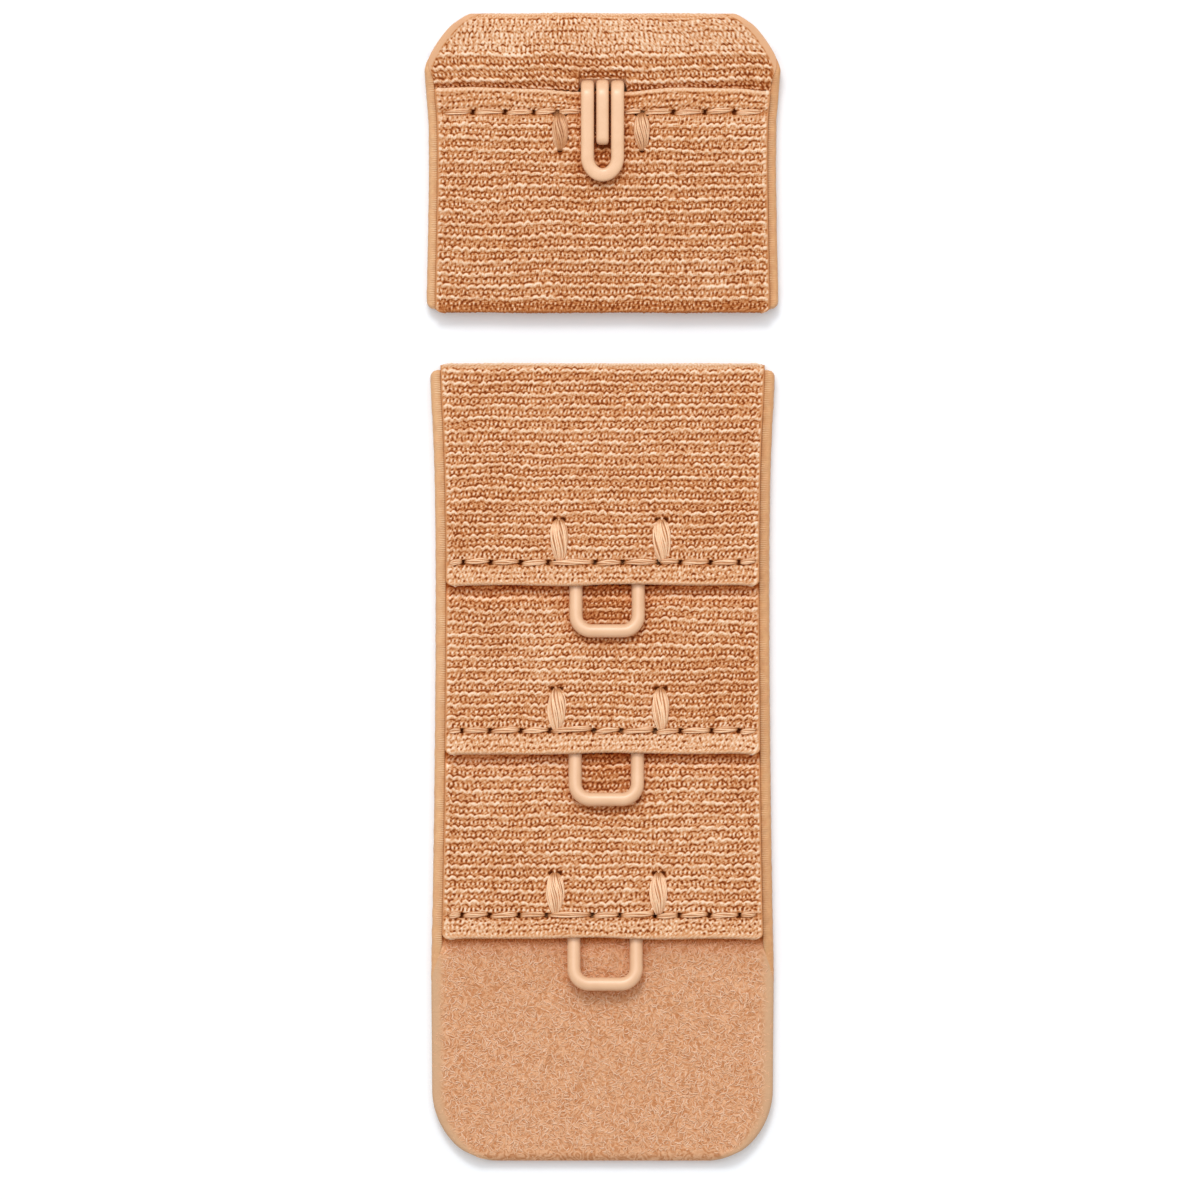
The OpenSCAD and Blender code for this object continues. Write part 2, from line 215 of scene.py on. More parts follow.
class Relief:
    """Height in mm and tone over x and s, the way along a cloth's profile. The tone holds painted
    light and shade: lighter on the thread's crests and loops, darker in its gaps and holes.
    """

    RES = 0.03
    START_HEIGHT, START_TONE = 0.10, 0.53

    def __init__(self, half, s0, s1):
        self.x0, self.s0 = -half, s0
        self.nx, self.ns = int(2 * half / self.RES) + 2, int((s1 - s0) / self.RES) + 2
        self.x = self.x0 + np.arange(self.nx) * self.RES
        self.h = np.full((self.ns, self.nx), self.START_HEIGHT)
        self.shade = np.full((self.ns, self.nx), self.START_TONE)

    def grid(self):
        return np.meshgrid(self.x, self.s0 + np.arange(self.ns) * self.RES)

    def rows(self, low, high):
        """The rows of the grid between two places on s, and the place of each."""
        j0, j1 = (min(self.ns, max(0, int((s - self.s0) / self.RES))) for s in (low, high))
        return slice(j0, j1), (self.s0 + np.arange(j0, j1) * self.RES)[:, None]

    def spots(self, x, s, wide, tall, high, tone):
        """Adds a soft oval spot of some height and tone at each point."""
        x, s, wide, tall, high, tone = (
            np.ravel(a).astype(float) for a in np.broadcast_arrays(x, s, wide, tall, high, tone))
        fx, fs = (x - self.x0) / self.RES, (s - self.s0) / self.RES
        ix, js = np.rint(fx).astype(int), np.rint(fs).astype(int)
        far_x, far_s = 2 * wide.max() / self.RES, 2 * tall.max() / self.RES
        for dj in range(-int(1 + far_s), int(2 + far_s)):
            for di in range(-int(1 + far_x), int(2 + far_x)):
                i, j = ix + di, js + dj
                w = np.exp(-((i - fx) * self.RES / wide) ** 2 - ((j - fs) * self.RES / tall) ** 2)
                m = (i >= 0) & (j >= 0) & (i < self.nx) & (j < self.ns)
                np.add.at(self.h, (j[m], i[m]), (high * w)[m])
                np.add.at(self.shade, (j[m], i[m]), (tone * w)[m])

    def sample(self, field, x, s):
        fx = np.clip((x - self.x0) / self.RES, 0, self.nx - 1.001)
        fs = np.clip((s - self.s0) / self.RES, 0, self.ns - 1.001)
        i, j = fx.astype(int), fs.astype(int)
        u, v = fx - i, fs - j
        return ((field[j, i] * (1 - u) + field[j, i + 1] * u) * (1 - v)
                + (field[j + 1, i] * (1 - u) + field[j + 1, i + 1] * u) * v)

    def turn_round(self, total):
        """Makes s run the other way, over the given total length."""
        self.h, self.shade = self.h[::-1], self.shade[::-1]
        self.s0 = total - self.s0 - (self.ns - 1) * self.RES


def add_course(rel, line, half, g, pitch):
    """One course of the knit: a humped ridge, a row of small upright loops below it, and dark
    gaps around both. The ridge and loops are painted light and the gaps painted shade in the tone,
    beside their height. Its measures were taken at a pitch of 0.85 mm, and scale with the pitch."""
    k = pitch / 0.85
    x = rel.x
    hump, ends = humps(g, x, half, (0.38, 0.78), (0.06, 0.23))
    hump = np.convolve(np.pad(hump, 2, "edge"), [0.1, 0.2, 0.4, 0.2, 0.1], "valid")
    drift = 0.022 * line_noise(g, x, 0.7, 1.8)
    rows, s = rel.rows(line - 0.45 * k, line + 0.60 * k)
    if not len(s):
        return
    v = (s - line) / k - hump - drift
    crest = uneven(g, x, 0.60, 0.42, 0.11, 0.34, 1.4)
    body = uneven(g, x, 0.8, 0.4, 0.11, 0.32, 1.4)
    above = uneven(g, x, 0.60, 0.60, 0.11, 0.30, 1.5)
    below = uneven(g, x, 0.55, 0.60, 0.11, 0.30, 1.5)
    rel.shade[rows] += (0.50 * crest * bell(v + 0.050, 0.070) + 0.20 * body * bell(v - 0.065, 0.085)
                        - 0.42 * above * bell(v + 0.185, 0.060)
                        - 0.34 * below * bell(v - 0.205, 0.055))
    rel.h[rows] += (0.085 * (0.8 + 0.2 * crest) * bell(v - 0.01, 0.13)
                    - 0.035 * above * bell(v + 0.185, 0.07))
    # Dark gaps over the dips between humps, and smaller ones at their foot
    dips = ends[(ends > -half) & (ends < half)]
    for share, down, wide, tall in ((0.8, -0.11, 0.075, 0.070), (0.75, 0.30, 0.068, 0.060)):
        some = dips[g.random(len(dips)) < share]
        n = len(some)
        rel.spots(some + g.normal(0, 0.02, n), line + (down + g.normal(0, 0.02, n)) * k,
                  wide, tall, -0.05, -0.50 * g.uniform(0.4, 1.2, n))
    # Small upright loops with gaps between them
    loop_s = 0.435
    beads = walk(g, -half, half, 0.25, 0.38)
    n = len(beads)
    bs = line + (loop_s + g.normal(0, 0.022, n)) * k + 0.5 * np.interp(beads, x, drift)
    patch = uneven(g, beads, 0.74, 0.28, 0.8, 2.2, 1.25, 0.2)
    rel.spots(beads, bs, 0.062 * g.uniform(0.8, 1.15, n), 0.080 * g.uniform(0.75, 1.2, n), 0.055,
              patch * g.uniform(0.4, 1.25, n))
    gaps = (beads[1:] + beads[:-1]) / 2
    n = len(gaps)
    gs = line + (loop_s + g.normal(0, 0.05, n)) * k + 0.5 * np.interp(gaps, x, drift)
    rel.spots(gaps, gs, 0.062, 0.080 * g.uniform(0.7, 1.3, n), -0.06,
              -0.60 * g.uniform(0.2, 1.3, n))
    # Larger holes here and there
    some = walk(g, -half, half, 0.26, 0.85)
    n = len(some)
    down = np.where(g.random(n) < 0.5, 0.225, 0.62)
    rel.spots(some, line + (down + g.normal(0, 0.03, n)) * k, 0.070, 0.070, -0.07,
              -0.55 * g.uniform(0.4, 1.2, n))


def add_net(rel, line, tall, band, half, g):
    """A row of small loops, tall high: a light mesh of thread round a hole in each loop, and a
    darker gap of the strength band below the row. Thread, holes and gap are painted light and shade
    in the tone."""
    x, wale = rel.x, 0.34
    drift = 0.035 * line_noise(g, x, 0.5, 1.4)
    bars = walk(g, -half - wale, half + wale, 0.70 * wale, 1.35 * wale)
    n = len(bars)
    bs = line + 0.06 * tall * g.normal(0, 1, n) + np.interp(bars, x, drift)
    strength = np.clip(0.75 + 0.4 * g.normal(0, 1, n), 0.1, 1.4)
    for up in (-0.16, 0.0, 0.16):
        rel.spots(bars + 0.25 * up * g.normal(0, 1, n), bs + up * tall, 0.066, 0.14 * tall,
                  0.035, 0.25 * strength)
    mid = (bars[1:] + bars[:-1]) / 2
    n = len(mid)
    ms = line + 0.16 * tall * g.normal(0, 1, n) + np.interp(mid, x, drift)
    deep = g.uniform(0.0, 1.25, n)
    rel.spots(mid, ms, 0.17, 0.17, 0.0, 0.10)
    rel.spots(mid, ms, 0.066 * g.uniform(0.85, 1.2, n), 0.076 * g.uniform(0.85, 1.3, n),
              -0.075, -0.98 * deep)
    # The foot of the row, and the gap below it
    foot = uneven(g, x, 0.6, 0.5, 0.15, 0.45, 1.4)
    gap = uneven(g, x, 0.45, 0.7, 0.10, 0.32, 1.6)
    rows, s = rel.rows(line, line + 0.85 * tall)
    v = (s - line - 0.5 * tall) / tall - (0.10 * line_noise(g, x, 0.2, 0.5) + drift / tall)
    rel.shade[rows] += (0.12 * foot * bell(v + 0.14, 0.13)
                        + (0.10 - band * gap) * bell(v - 0.04, 0.11))
    rel.h[rows] += 0.03 * foot * bell(v + 0.14, 0.15) - 0.07 * band * gap * bell(v - 0.04, 0.12)


class CloseBars:
    """Rows of short upright bars, with their holes on the dark line above them."""
    HUMP, GROUND, LINE, LINE_DEPTH = 0.26, 0.04, 0.31, 0.03
    SETS = ((0.205, 0.085, 0.44, 0.16),)
    HOLE, HOLE_SPREAD, RING, DARK = 0.02, 0.07, 0.22, 0.95


class WideBars:
    """Rows of two sets of bars, with their holes between the sets."""
    HUMP, GROUND, LINE, LINE_DEPTH = 0.20, 0.20, 0.55, 0.07
    SETS = ((0.22, 0.145, 0.56, 0.40), (0.71, 0.10, 0.50, 0.40))
    HOLE, HOLE_SPREAD, RING, DARK = 0.465, 0.055, 0.30, 1.15


def add_bars(rel, first, pitch, kind, half, g):
    """Three rows of upright light bars, each below a dark wavy line, with a row of round holes.
    The bars are painted light, and the lines, gaps and holes painted shade, in the tone.
    A set of bars is its place, length and tone, and the tone of its gaps."""
    x = rel.x
    for k in range(3):
        line = first + pitch * k
        hump = humps(g, x, half, (0.28, 0.62), (0.0, kind.HUMP))[0]
        wave = hump + 0.03 * line_noise(g, x, 0.5, 1.4)
        rows, s = rel.rows(line - 0.35, line + 0.35)
        dark = uneven(g, x, 0.65, 0.65, 0.10, 0.26, 1.5)
        v = s - line - wave
        rel.shade[rows] += kind.GROUND * bell(v, 0.26) - kind.LINE * dark * bell(v, 0.070)
        rel.h[rows] += 0.04 * bell(v + 0.1, 0.12) - kind.LINE_DEPTH * dark * bell(v, 0.07)
        for down, long, bright, between in kind.SETS[:1 if k == 2 else 2]:
            bars = walk(g, -half, half, 0.27, 0.43)
            n = len(bars)
            bs = line + down + g.normal(0, 0.025, n) + np.interp(bars, x, wave)
            rel.spots(bars, bs, 0.068 * g.uniform(0.8, 1.2, n), long * g.uniform(0.8, 1.25, n),
                      0.05, bright * g.uniform(0.4, 1.4, n))
            n -= 1
            gaps = (bars[1:] + bars[:-1]) / 2 + g.normal(0, 0.02, n)
            gs = line + down + g.normal(0, 0.04, n) + np.interp(gaps, x, wave)
            rel.spots(gaps, gs, 0.050, long * g.uniform(0.6, 1.1, n), -0.04,
                      -between * g.uniform(0.0, 1.4, n))
        some = walk(g, -half, half, 0.27, 0.56)
        n = len(some)
        ss = line + kind.HOLE + g.normal(0, kind.HOLE_SPREAD, n) + np.interp(some, x, wave)
        rel.spots(some, ss, 0.19, 0.16, 0.0, kind.RING)
        rel.spots(some, ss, 0.080 * g.uniform(0.8, 1.15, n), 0.080 * g.uniform(0.8, 1.25, n),
                  -0.08, -kind.DARK * g.uniform(0.2, 1.15, n))


def crisp(field, amount):
    """Brings out the fine detail, which a mesh of this spacing would soften."""
    soft = field
    for _ in range(3):
        for axis in (0, 1):
            soft = (soft + np.roll(soft, 1, axis) + np.roll(soft, -1, axis)) / 3
    return field + amount * (field - soft)


def course_lines(at, first, pitch, count):
    """The way s to each course, from the uppermost down, and their pitch."""
    return [at(first - pitch * k) for k in range(count)], pitch


def knit(half, s_end, seed, courses=((), 0), nets=(), bars=(), holes=(), plain=(), shadows=()):
    """Relief of a knitted face. nets are (line, height, band), bars are (line, pitch, kind),
    holes are (x, s, radius), plain lists (from, to, tone) of bare rolled edges, and shadows
    (x, half width, s, half length, amount) are painted into the tone, where a negative amount makes
    it lighter."""
    g = np.random.default_rng(seed)
    rel = Relief(half + 0.2, -0.4, s_end + 0.4)
    for line in courses[0]:
        add_course(rel, line, half, g, courses[1])
    for net in nets:
        add_net(rel, *net, half, g)
    for rows in bars:
        add_bars(rel, *rows, half, g)
    x, s = rel.grid()
    bend = Waves(seed + 5, 10, 3.0, 11)
    fine = Waves(seed + 6, 40, 0.11, 0.34)
    wx, ws = x + 0.04 * bend(s + 40, x), s + 0.06 * bend(x, s)
    tone = fine(x, s)
    h = rel.sample(rel.h, wx, ws) + 0.006 * tone
    shade = rel.sample(rel.shade, wx, ws) + 0.075 * tone + 0.02 * bend(x * 0.6 + 7, s * 0.6)
    for s0, s1, bare in plain:
        on = (step(s0 - 0.08, s0 + 0.08, s + 0.02 * fine(x * 0.3, 0))
              * (1 - step(s1 - 0.08, s1 + 0.08, s)))
        h = h * (1 - on) + on * (0.16 + 0.014 * fine(x * 0.6, s * 1.2))
        shade = shade * (1 - on) + on * (bare + 0.05 * tone)
    # Painted shadows; a negative amount makes the tone lighter
    for sx, sw, ss, sl, much in shadows:
        shade = shade - much * np.exp(-(np.abs(x - sx) / sw) ** 4 - (np.abs(s - ss) / sl) ** 4)
    rel.h = crisp(h, 0.6) + 0.02 * bend(x * 0.7, s * 0.7)
    shade = crisp(shade, 1.3)
    # Needle holes, sunk and painted dark as the shade inside them
    hole_depth, hole_dark = 0.42, 0.98
    for hx, hs, hr in holes:
        d = ((x - hx) ** 2 + ((s - hs) * 1.2) ** 2) / hr ** 2
        rel.h = rel.h - hole_depth * np.exp(-d * d)
        shade = shade * (1 - hole_dark * np.exp(-(d * 0.75) ** 2))
    rel.shade = np.clip(shade, 0, 1)
    return rel


def lengths(points):
    """The way along a polyline to each of its points."""
    return np.concatenate([[0], np.cumsum(np.linalg.norm(np.diff(points, axis=0), axis=1))])


def along(points, s0=0.0):
    """A function from y to the way along points that go steadily in y, and their length."""
    p, d = np.asarray(points, float), lengths(points)
    order = np.argsort(p[:, 0])
    return (lambda y: s0 + float(np.interp(y, p[order, 0], d[order]))), float(d[-1])


def spaced(points, gap):
    """Points on a polyline, about gap apart."""
    p, d = np.asarray(points, float), lengths(points)
    t = np.linspace(0, d[-1], max(1, int(round(d[-1] / gap))) + 1)
    return np.stack([np.interp(t, d, p[:, k]) for k in range(p.shape[1])], 1)


def arc(cy, cz, r, a0, a1, n=14):
    a = np.radians(np.linspace(a0, a1, n))
    return [(cy + r * math.cos(v), cz + r * math.sin(v)) for v in a]


def straight(points, gaps):
    """Runs of a profile from each point to the next, with a gap for each."""
    return [(points[k:k + 2], gap) for k, gap in enumerate(gaps)]


def columns(half, gap):
    """Shares of the half width, with more of them in the last 0.3 mm, which may round down."""
    last = 0.3
    inner = np.linspace(-(1 - last / half), 1 - last / half, int(2 * (half - last) / gap))
    out = 1 - (last / half) * (1 - np.sin(np.radians([25, 45, 62, 78, 90])))
    return np.concatenate([-out[::-1], inner, out])


def outward(verts, faces):
    """The faces, turned round if they look into the body."""
    v = np.asarray(verts, float)
    v = v - v.mean(0)
    fans = np.array([(f[0], f[k], f[k + 1]) for f in faces for k in range(1, len(f) - 1)])
    p, q, r = v[fans[:, 0]], v[fans[:, 1]], v[fans[:, 2]]
    return faces if np.einsum("ij,ij->", p, np.cross(q, r)) > 0 else [f[::-1] for f in faces]


def side_cap(y):
    """Triangles that close the side of a profile, each between points of its two runs at nearly
    the same y."""
    n, top, low = len(y), int(np.argmax(y)), int(np.argmin(y))
    a = [(top + k) % n for k in range((low - top) % n + 1)]
    b = [(top - k) % n for k in range((top - low) % n + 1)]
    i, j, out = 0, 0, []
    while i < len(a) - 1 or j < len(b) - 1:
        if j == len(b) - 1 or (i < len(a) - 1 and y[a[i + 1]] >= y[b[j + 1]]):
            face = [a[i], a[i + 1], b[j]]
            i += 1
        else:
            face = [a[i], b[j + 1], b[j]]
            j += 1
        if len(set(face)) == 3:
            out.append(face)
    return out


def make_mesh(name, verts, faces, material, smooth=True, second=None, **layers):
    """A mesh with its own values per point, such as its shade. second is another material and
    which faces take it."""
    mesh = bpy.data.meshes.new(name)
    mesh.from_pydata((np.asarray(verts) * MM).tolist(), [], outward(verts, faces))
    for word, values in layers.items():
        layer = mesh.attributes.new(word, "FLOAT", "POINT")
        layer.data.foreach_set("value", np.asarray(values, np.float32).ravel())
    mesh.materials.append(material)
    if second:
        mesh.materials.append(second[0])
        mesh.polygons.foreach_set("material_index", np.asarray(second[1], np.int32))
    mesh.polygons.foreach_set("use_smooth", np.full(len(mesh.polygons), smooth))
    mesh.update()
    obj = bpy.data.objects.new(name, mesh)
    bpy.context.scene.collection.objects.link(obj)
    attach(obj, "root")
    return obj


def eye_wire(k):
    """The eye that lies under fold k, as glow takes it."""
    return EYE_X[k], EYE_LEG - EYE_TURN, EYE_TURN, FOLDS[k] + EYE_LOW + EYE_TURN, FOLDS[k]


def painted_shade_and_lift(x, y, z, fold, wire):
    """Painted shade and light for a cloth's colour: a warm tint painted where shadow falls below a
    fold and beside a wire loop, as light that passes from thread to thread would warm it, and a
    lift that paints a little further down from a fold lighter. fold is its y. wire is the loop's
    middle in x, half the gap between its two arcs, their radius and height in y, and where its
    legs begin."""
    shadow_warmth, lift = 0 * y, 0 * y
    if fold is not None:
        far_off = 9
        d = np.where(z > FACE_Z, fold - y, far_off)
        # Painted warm shade just below the fold, and painted light a little further down
        shadow_warmth, lift = 0.85 * bell(d, 0.38), 0.42 * bell(d - 0.75, 0.42)
    if wire:
        middle, apart, r, height, top = wire
        across, down = np.abs(x - middle) - apart, height - 0.12 - y
        outside = (across > 0) & (down > 0)
        gap = np.where(outside, np.hypot(across, down), np.maximum(across, down)) - r
        # Painted warm shade round the wire loop
        shadow_warmth = np.maximum(shadow_warmth, 0.42 * bell(gap, 0.65) * (y < top) * (z > FACE_Z))
    return {"shadow_warmth": shadow_warmth, "lift": lift}


def cloth(name, runs, half, material, relief=None, edge=0.07, gap=GRID, shift=None, carve=None,
          plush_y=None, extra=None, margin=(0.03, 0.22), base_shade=0.5, rim=None, fold=None,
          wire=None):
    """A closed layer of cloth: a profile in y and z, made of runs of points with their gaps, drawn
    across between the side edges. With rim, the distance to the outline, the relief starts that
    far in and stays in place under shift. Its underside is plush below plush_y. fold and wire
    hang over it, in the form from which painted shade and light are worked out for its colour."""
    loop = np.concatenate([spaced(points, distance)[:-1] for points, distance in runs])
    n = len(loop)
    tan = np.roll(loop, -1, 0) - np.roll(loop, 1, 0)
    tan /= np.maximum(np.linalg.norm(tan, axis=1), 1e-9)[:, None]
    turn = np.sum(loop[:, 0] * np.roll(loop[:, 1], -1) - np.roll(loop[:, 0], -1) * loop[:, 1])
    normal = np.stack([tan[:, 1], -tan[:, 0]], 1) * (1 if turn > 0 else -1)
    for _ in range(2):
        normal = normal + np.roll(normal, 1, 0) + np.roll(normal, -1, 0)
        normal /= np.linalg.norm(normal, axis=1)[:, None]
    y0, z0, normal_y, normal_z = (a[:, None] for a in (*loop.T, *normal.T))
    w = half(y0)
    u = columns(float(w.max()), gap)
    m = len(u)
    X = w * u[None, :]
    S = np.repeat(lengths(loop)[:, None], m, 1)
    away = w - np.abs(X)
    r = edge(y0) if callable(edge) else edge
    push = -np.where(away < r, r - np.sqrt(np.maximum(r ** 2 - (r - away) ** 2, 0)), 0)
    shade = np.full(X.shape, base_shade)
    slide = shift(X, S) if shift else 0.0
    if relief:
        rel, s_from, s_to = relief
        on = step(s_from, s_from + 0.15, S) * (1 - step(s_to - 0.15, s_to, S))
        at, dist = (S + slide, rim(X, y0 + slide)) if rim else (S, away)
        fade = on * step(*margin, dist)
        push = push - on * SINK + fade * rel.sample(rel.h, X, at) + (on - fade) * BARE
        shade = base_shade + (rel.sample(rel.shade, X, at) - base_shade) * fade
        if rim:
            # A fine dark line where the knit meets the smooth margin
            seam = np.clip(0.7 + 0.6 * Waves(5 + n, 12, 0.2, 0.9)(X, at), 0, 1)
            shade = shade - 0.34 * seam * bell(dist - margin[0] - 0.04, 0.045) * on
        else:
            # Two threads run up each side, just inside the edge
            wander = Waves(3 + n, 8, 0.5, 1.6)
            for k in (0, 1):
                beside = away - 0.16 * (1 + 0.9 * k) - 0.025 * wander(S + 9 * k, np.sign(X) * 3)
                seen = np.clip(0.75 + 0.5 * wander(S * 1.7, 5 + k + np.sign(X)), 0, 1)
                cord = bell(beside, 0.05) * seen * on
                push = push + 0.06 * cord
                shade = shade + 0.22 * cord
    if extra:
        more, tint = extra(X, S, y0)
        push, shade = push + more, shade + tint
    Y = y0 + normal_y * push + slide
    Z = z0 + normal_z * push
    if carve:
        Z = carve(X, Y, Z, S)
    i = np.arange(n)[:, None] * m + np.arange(m - 1)
    j = ((np.arange(n) + 1) % n)[:, None] * m + np.arange(m - 1)
    quads = np.stack([i, i + 1, j + 1, j] if turn > 0 else [i, j, j + 1, i + 1], -1)
    faces = quads.reshape(-1, 4).tolist()
    for column, flip in ((0, turn < 0), (m - 1, turn > 0)):
        caps = [[k * m + column for k in face] for face in side_cap(Y[:, column])]
        faces += [face[::-1] for face in caps] if flip else caps
    second = None
    if plush_y is not None:
        shade = np.where(Z < BACK_Z, 0, shade)
        mid_y, mid_z = ((loop + np.roll(loop, -1, 0)) / 2).T
        is_back = np.repeat((mid_z < BACK_Z) & (mid_y < plush_y), m - 1)
        second = PLUSH, np.concatenate([is_back, np.zeros(len(faces) - n * (m - 1))])
    return make_mesh(name, np.stack([X, Y, Z], -1).reshape(-1, 3), faces, material, second=second,
                     shade=np.clip(shade, 0, 1), **painted_shade_and_lift(X, Y, Z, fold, wire))


def tube_faces(n, m):
    """Faces of a tube of n rings with m points each, closed at both ends."""
    quads = [[k * m + t, k * m + (t + 1) % m, (k + 1) * m + (t + 1) % m, (k + 1) * m + t]
             for k in range(n - 1) for t in range(m)]
    return quads + [list(range(m))[::-1], list(range((n - 1) * m, n * m))]


def sweep(path, across, up, section):
    """Vertices and faces of a section drawn along a path. The section and its axes across and up
    are the same all along, or given for each point."""
    path, section = np.asarray(path, float), np.asarray(section, float)
    across, up = (np.broadcast_to(np.asarray(a, float), path.shape)[:, None] for a in (across, up))
    n, m = len(path), section.shape[-2]
    section = np.broadcast_to(section, (n, m, 2))
    verts = path[:, None] + across * section[:, :, :1] + up * section[:, :, 1:]
    verts = verts.reshape(-1, 3)
    return verts, outward(verts, tube_faces(n, m))


def join(parts):
    verts, faces, at = [], [], 0
    for v, f, *_ in parts:
        verts.append(np.asarray(v))
        faces.extend([[q + at for q in face] for face in f])
        at += len(v)
    return np.concatenate(verts), faces


def ovals(wide, tall, sides):
    """An oval section for each point of a path, from its half width and half height there."""
    a = np.linspace(0, 2 * math.pi, sides, endpoint=False)
    return np.stack([np.cos(a) * wide[:, None], np.sin(a) * tall[:, None]], -1)


def rounded(width, height, power=3.6, n=28):
    """A section between an oval, at the power 2, and a rectangle."""
    a = np.linspace(0, 2 * math.pi, n, endpoint=False)
    c, s = np.cos(a), np.sin(a)
    return np.stack([width / 2 * np.sign(c) * np.abs(c) ** (2 / power),
                     height / 2 * np.sign(s) * np.abs(s) ** (2 / power)], 1)


def thread(points, radius, tone, thin):
    """A round thread along points, thinner at its two ends by the share thin, with its tone."""
    sides = 6
    p = np.asarray(points, float)
    tan = np.gradient(p, axis=0)
    tan /= np.linalg.norm(tan, axis=1)[:, None]
    across = np.cross(tan, UP)
    upright = np.linalg.norm(across, axis=1) < 0.2
    across[upright] = np.cross(tan[upright], RIGHT)
    across /= np.linalg.norm(across, axis=1)[:, None]
    t = np.linspace(0, 1, len(p))
    r = radius * (1 - thin * (2 * np.abs(t - 0.5)) ** 3)
    return (*sweep(p, across, np.cross(across, tan), ovals(r, r, sides)), np.repeat(tone, sides))


class Look:
    """A procedural material, with short ways to add nodes to it."""

    def __init__(self, name, constants):
        self.material = bpy.data.materials.new(name)
        self.material.use_nodes = True
        self.tree = self.material.node_tree
        self.shader = self.tree.nodes["Principled BSDF"]
        self.feed(self.shader, constants)

    def feed(self, node, inputs):
        """Sets a node's sockets to values, or links them to other nodes' outputs."""
        for word, value in inputs.items():
            if isinstance(value, bpy.types.NodeSocket):
                self.tree.links.new(value, node.inputs[word])
            else:
                node.inputs[word].default_value = value

    def node(self, kind, inputs, **settings):
        node = self.tree.nodes.new("ShaderNode" + kind)
        for word, value in settings.items():
            setattr(node, word, value)
        self.feed(node, inputs)
        return node

    def value(self, name):
        """A value that the mesh itself carries."""
        return self.node("Attribute", {}, attribute_name=name).outputs["Fac"]

    def ramp(self, factor, stops):
        """A colour ramp. A stop is its place and a colour, or its place and a grey."""
        node = self.node("ValToRGB", {"Fac": factor})
        elements = node.color_ramp.elements
        while len(elements) < len(stops):
            elements.new(0.5)
        for element, (at, colour) in zip(elements, stops):
            element.position = at
            element.color = (*colour, 1) if isinstance(colour, tuple) else (*[colour] * 3, 1)
        return node.outputs["Color"]

    def noise(self, scale, detail, rough=0.55, stretch=None):
        place = self.node("TexCoord", {}).outputs["Object"]
        if stretch:
            place = self.node("Mapping", {"Scale": stretch, "Vector": place}).outputs["Vector"]
        return self.node("TexNoise", {"Scale": scale, "Detail": detail, "Roughness": rough,
                                      "Vector": place}).outputs["Fac"]

    def mix(self, kind, factor, a, b):
        a, b = ((*v, 1) if isinstance(v, tuple) else v for v in (a, b))
        node = self.node("Mix", {0: factor, 6: a, 7: b}, data_type="RGBA", blend_type=kind)
        return node.outputs[2]

    def math(self, operation, *values):
        return self.node("Math", dict(enumerate(values)), operation=operation).outputs["Value"]

    def bump(self, height, strength, distance, **more):
        return self.node("Bump", {"Height": height, "Strength": strength, "Distance": distance,
                                  **more}).outputs["Normal"]

    def shadow_tint(self, colour):
        """Paints shade and light into a colour by the mesh's own values: a warm tint where shadow
        falls, and a lift that makes it lighter.
        """
        tint = self.mix("MIX", self.value("shadow_warmth"), (1.0, 1.0, 1.0), (1.0, 0.47, 0.05))
        gain = self.math("ADD", self.value("lift"), 1.0)
        return self.mix("MULTIPLY", 1.0, self.mix("MULTIPLY", 1.0, colour, tint), gain)

    def done(self, colour, **more):
        self.feed(self.shader, {"Base Color": colour, **more})
        return self.material


def knit_material():
    look = Look("knit", {"Roughness": 0.66, "Specular IOR Level": 0.06})
    # The shade value picks the colour: deep red-brown for the painted shade in gaps and holes,
    # light for the painted light on the thread
    tone = look.ramp(look.value("shade"), [
        (0.0, (0.19, 0.038, 0.006)), (0.13, (0.230, 0.048, 0.008)), (0.32, (0.395, 0.118, 0.029)),
        (0.53, (0.59, 0.267, 0.112)), (0.77, (0.767, 0.482, 0.298)), (1.0, (0.89, 0.69, 0.523))])
    colour = look.shadow_tint(look.mix("OVERLAY", 0.08, tone, look.noise(380.0, 2.0)))
    fibre = look.noise(9000.0, 4.0, 0.6, (1.0, 2.2, 1.0))
    return look.done(colour, Normal=look.bump(fibre, 0.5, 0.00006))


def plush_material():
    """Brushed cloth. The mesh's shade turns it into the smooth margin along the sides."""
    dark, light, margin = (0.50, 0.200, 0.080), (0.74, 0.415, 0.235), (0.60, 0.365, 0.212)
    look = Look("plush", {"Roughness": 0.85, "Specular IOR Level": 0.06})
    fibre = look.noise(5200.0, 5.0, 0.65, (1.0, 1.0, 0.6))
    # Combed strokes follow the lines where a wide noise has the same value
    bent = look.math("MULTIPLY", fibre, 4.0)
    strokes = look.math("MULTIPLY_ADD", look.noise(1000.0, 1.0, 0.5), 46.0, bent)
    height = look.math("MULTIPLY_ADD", look.math("SINE", strokes), 0.16, fibre)
    tone = look.ramp(height, [(0.28, dark), (0.70, light)])
    colour = look.mix("MIX", look.value("shade"), tone, margin)
    colour = look.shadow_tint(look.mix("OVERLAY", 0.06, colour, look.noise(300.0, 3.0)))
    return look.done(colour, Normal=look.bump(height, 0.5, 0.00006))


def pile_material():
    """Fibres of the brushed tail. Each has its own shade, from dark to light."""
    look = Look("pile", {"Roughness": 0.8, "Specular IOR Level": 0.03})
    return look.done(look.shadow_tint(look.ramp(look.value("shade"), [
        (0.0, (0.57, 0.26, 0.115)), (0.35, (0.71, 0.41, 0.236)), (1.0, (0.84, 0.565, 0.39))])))


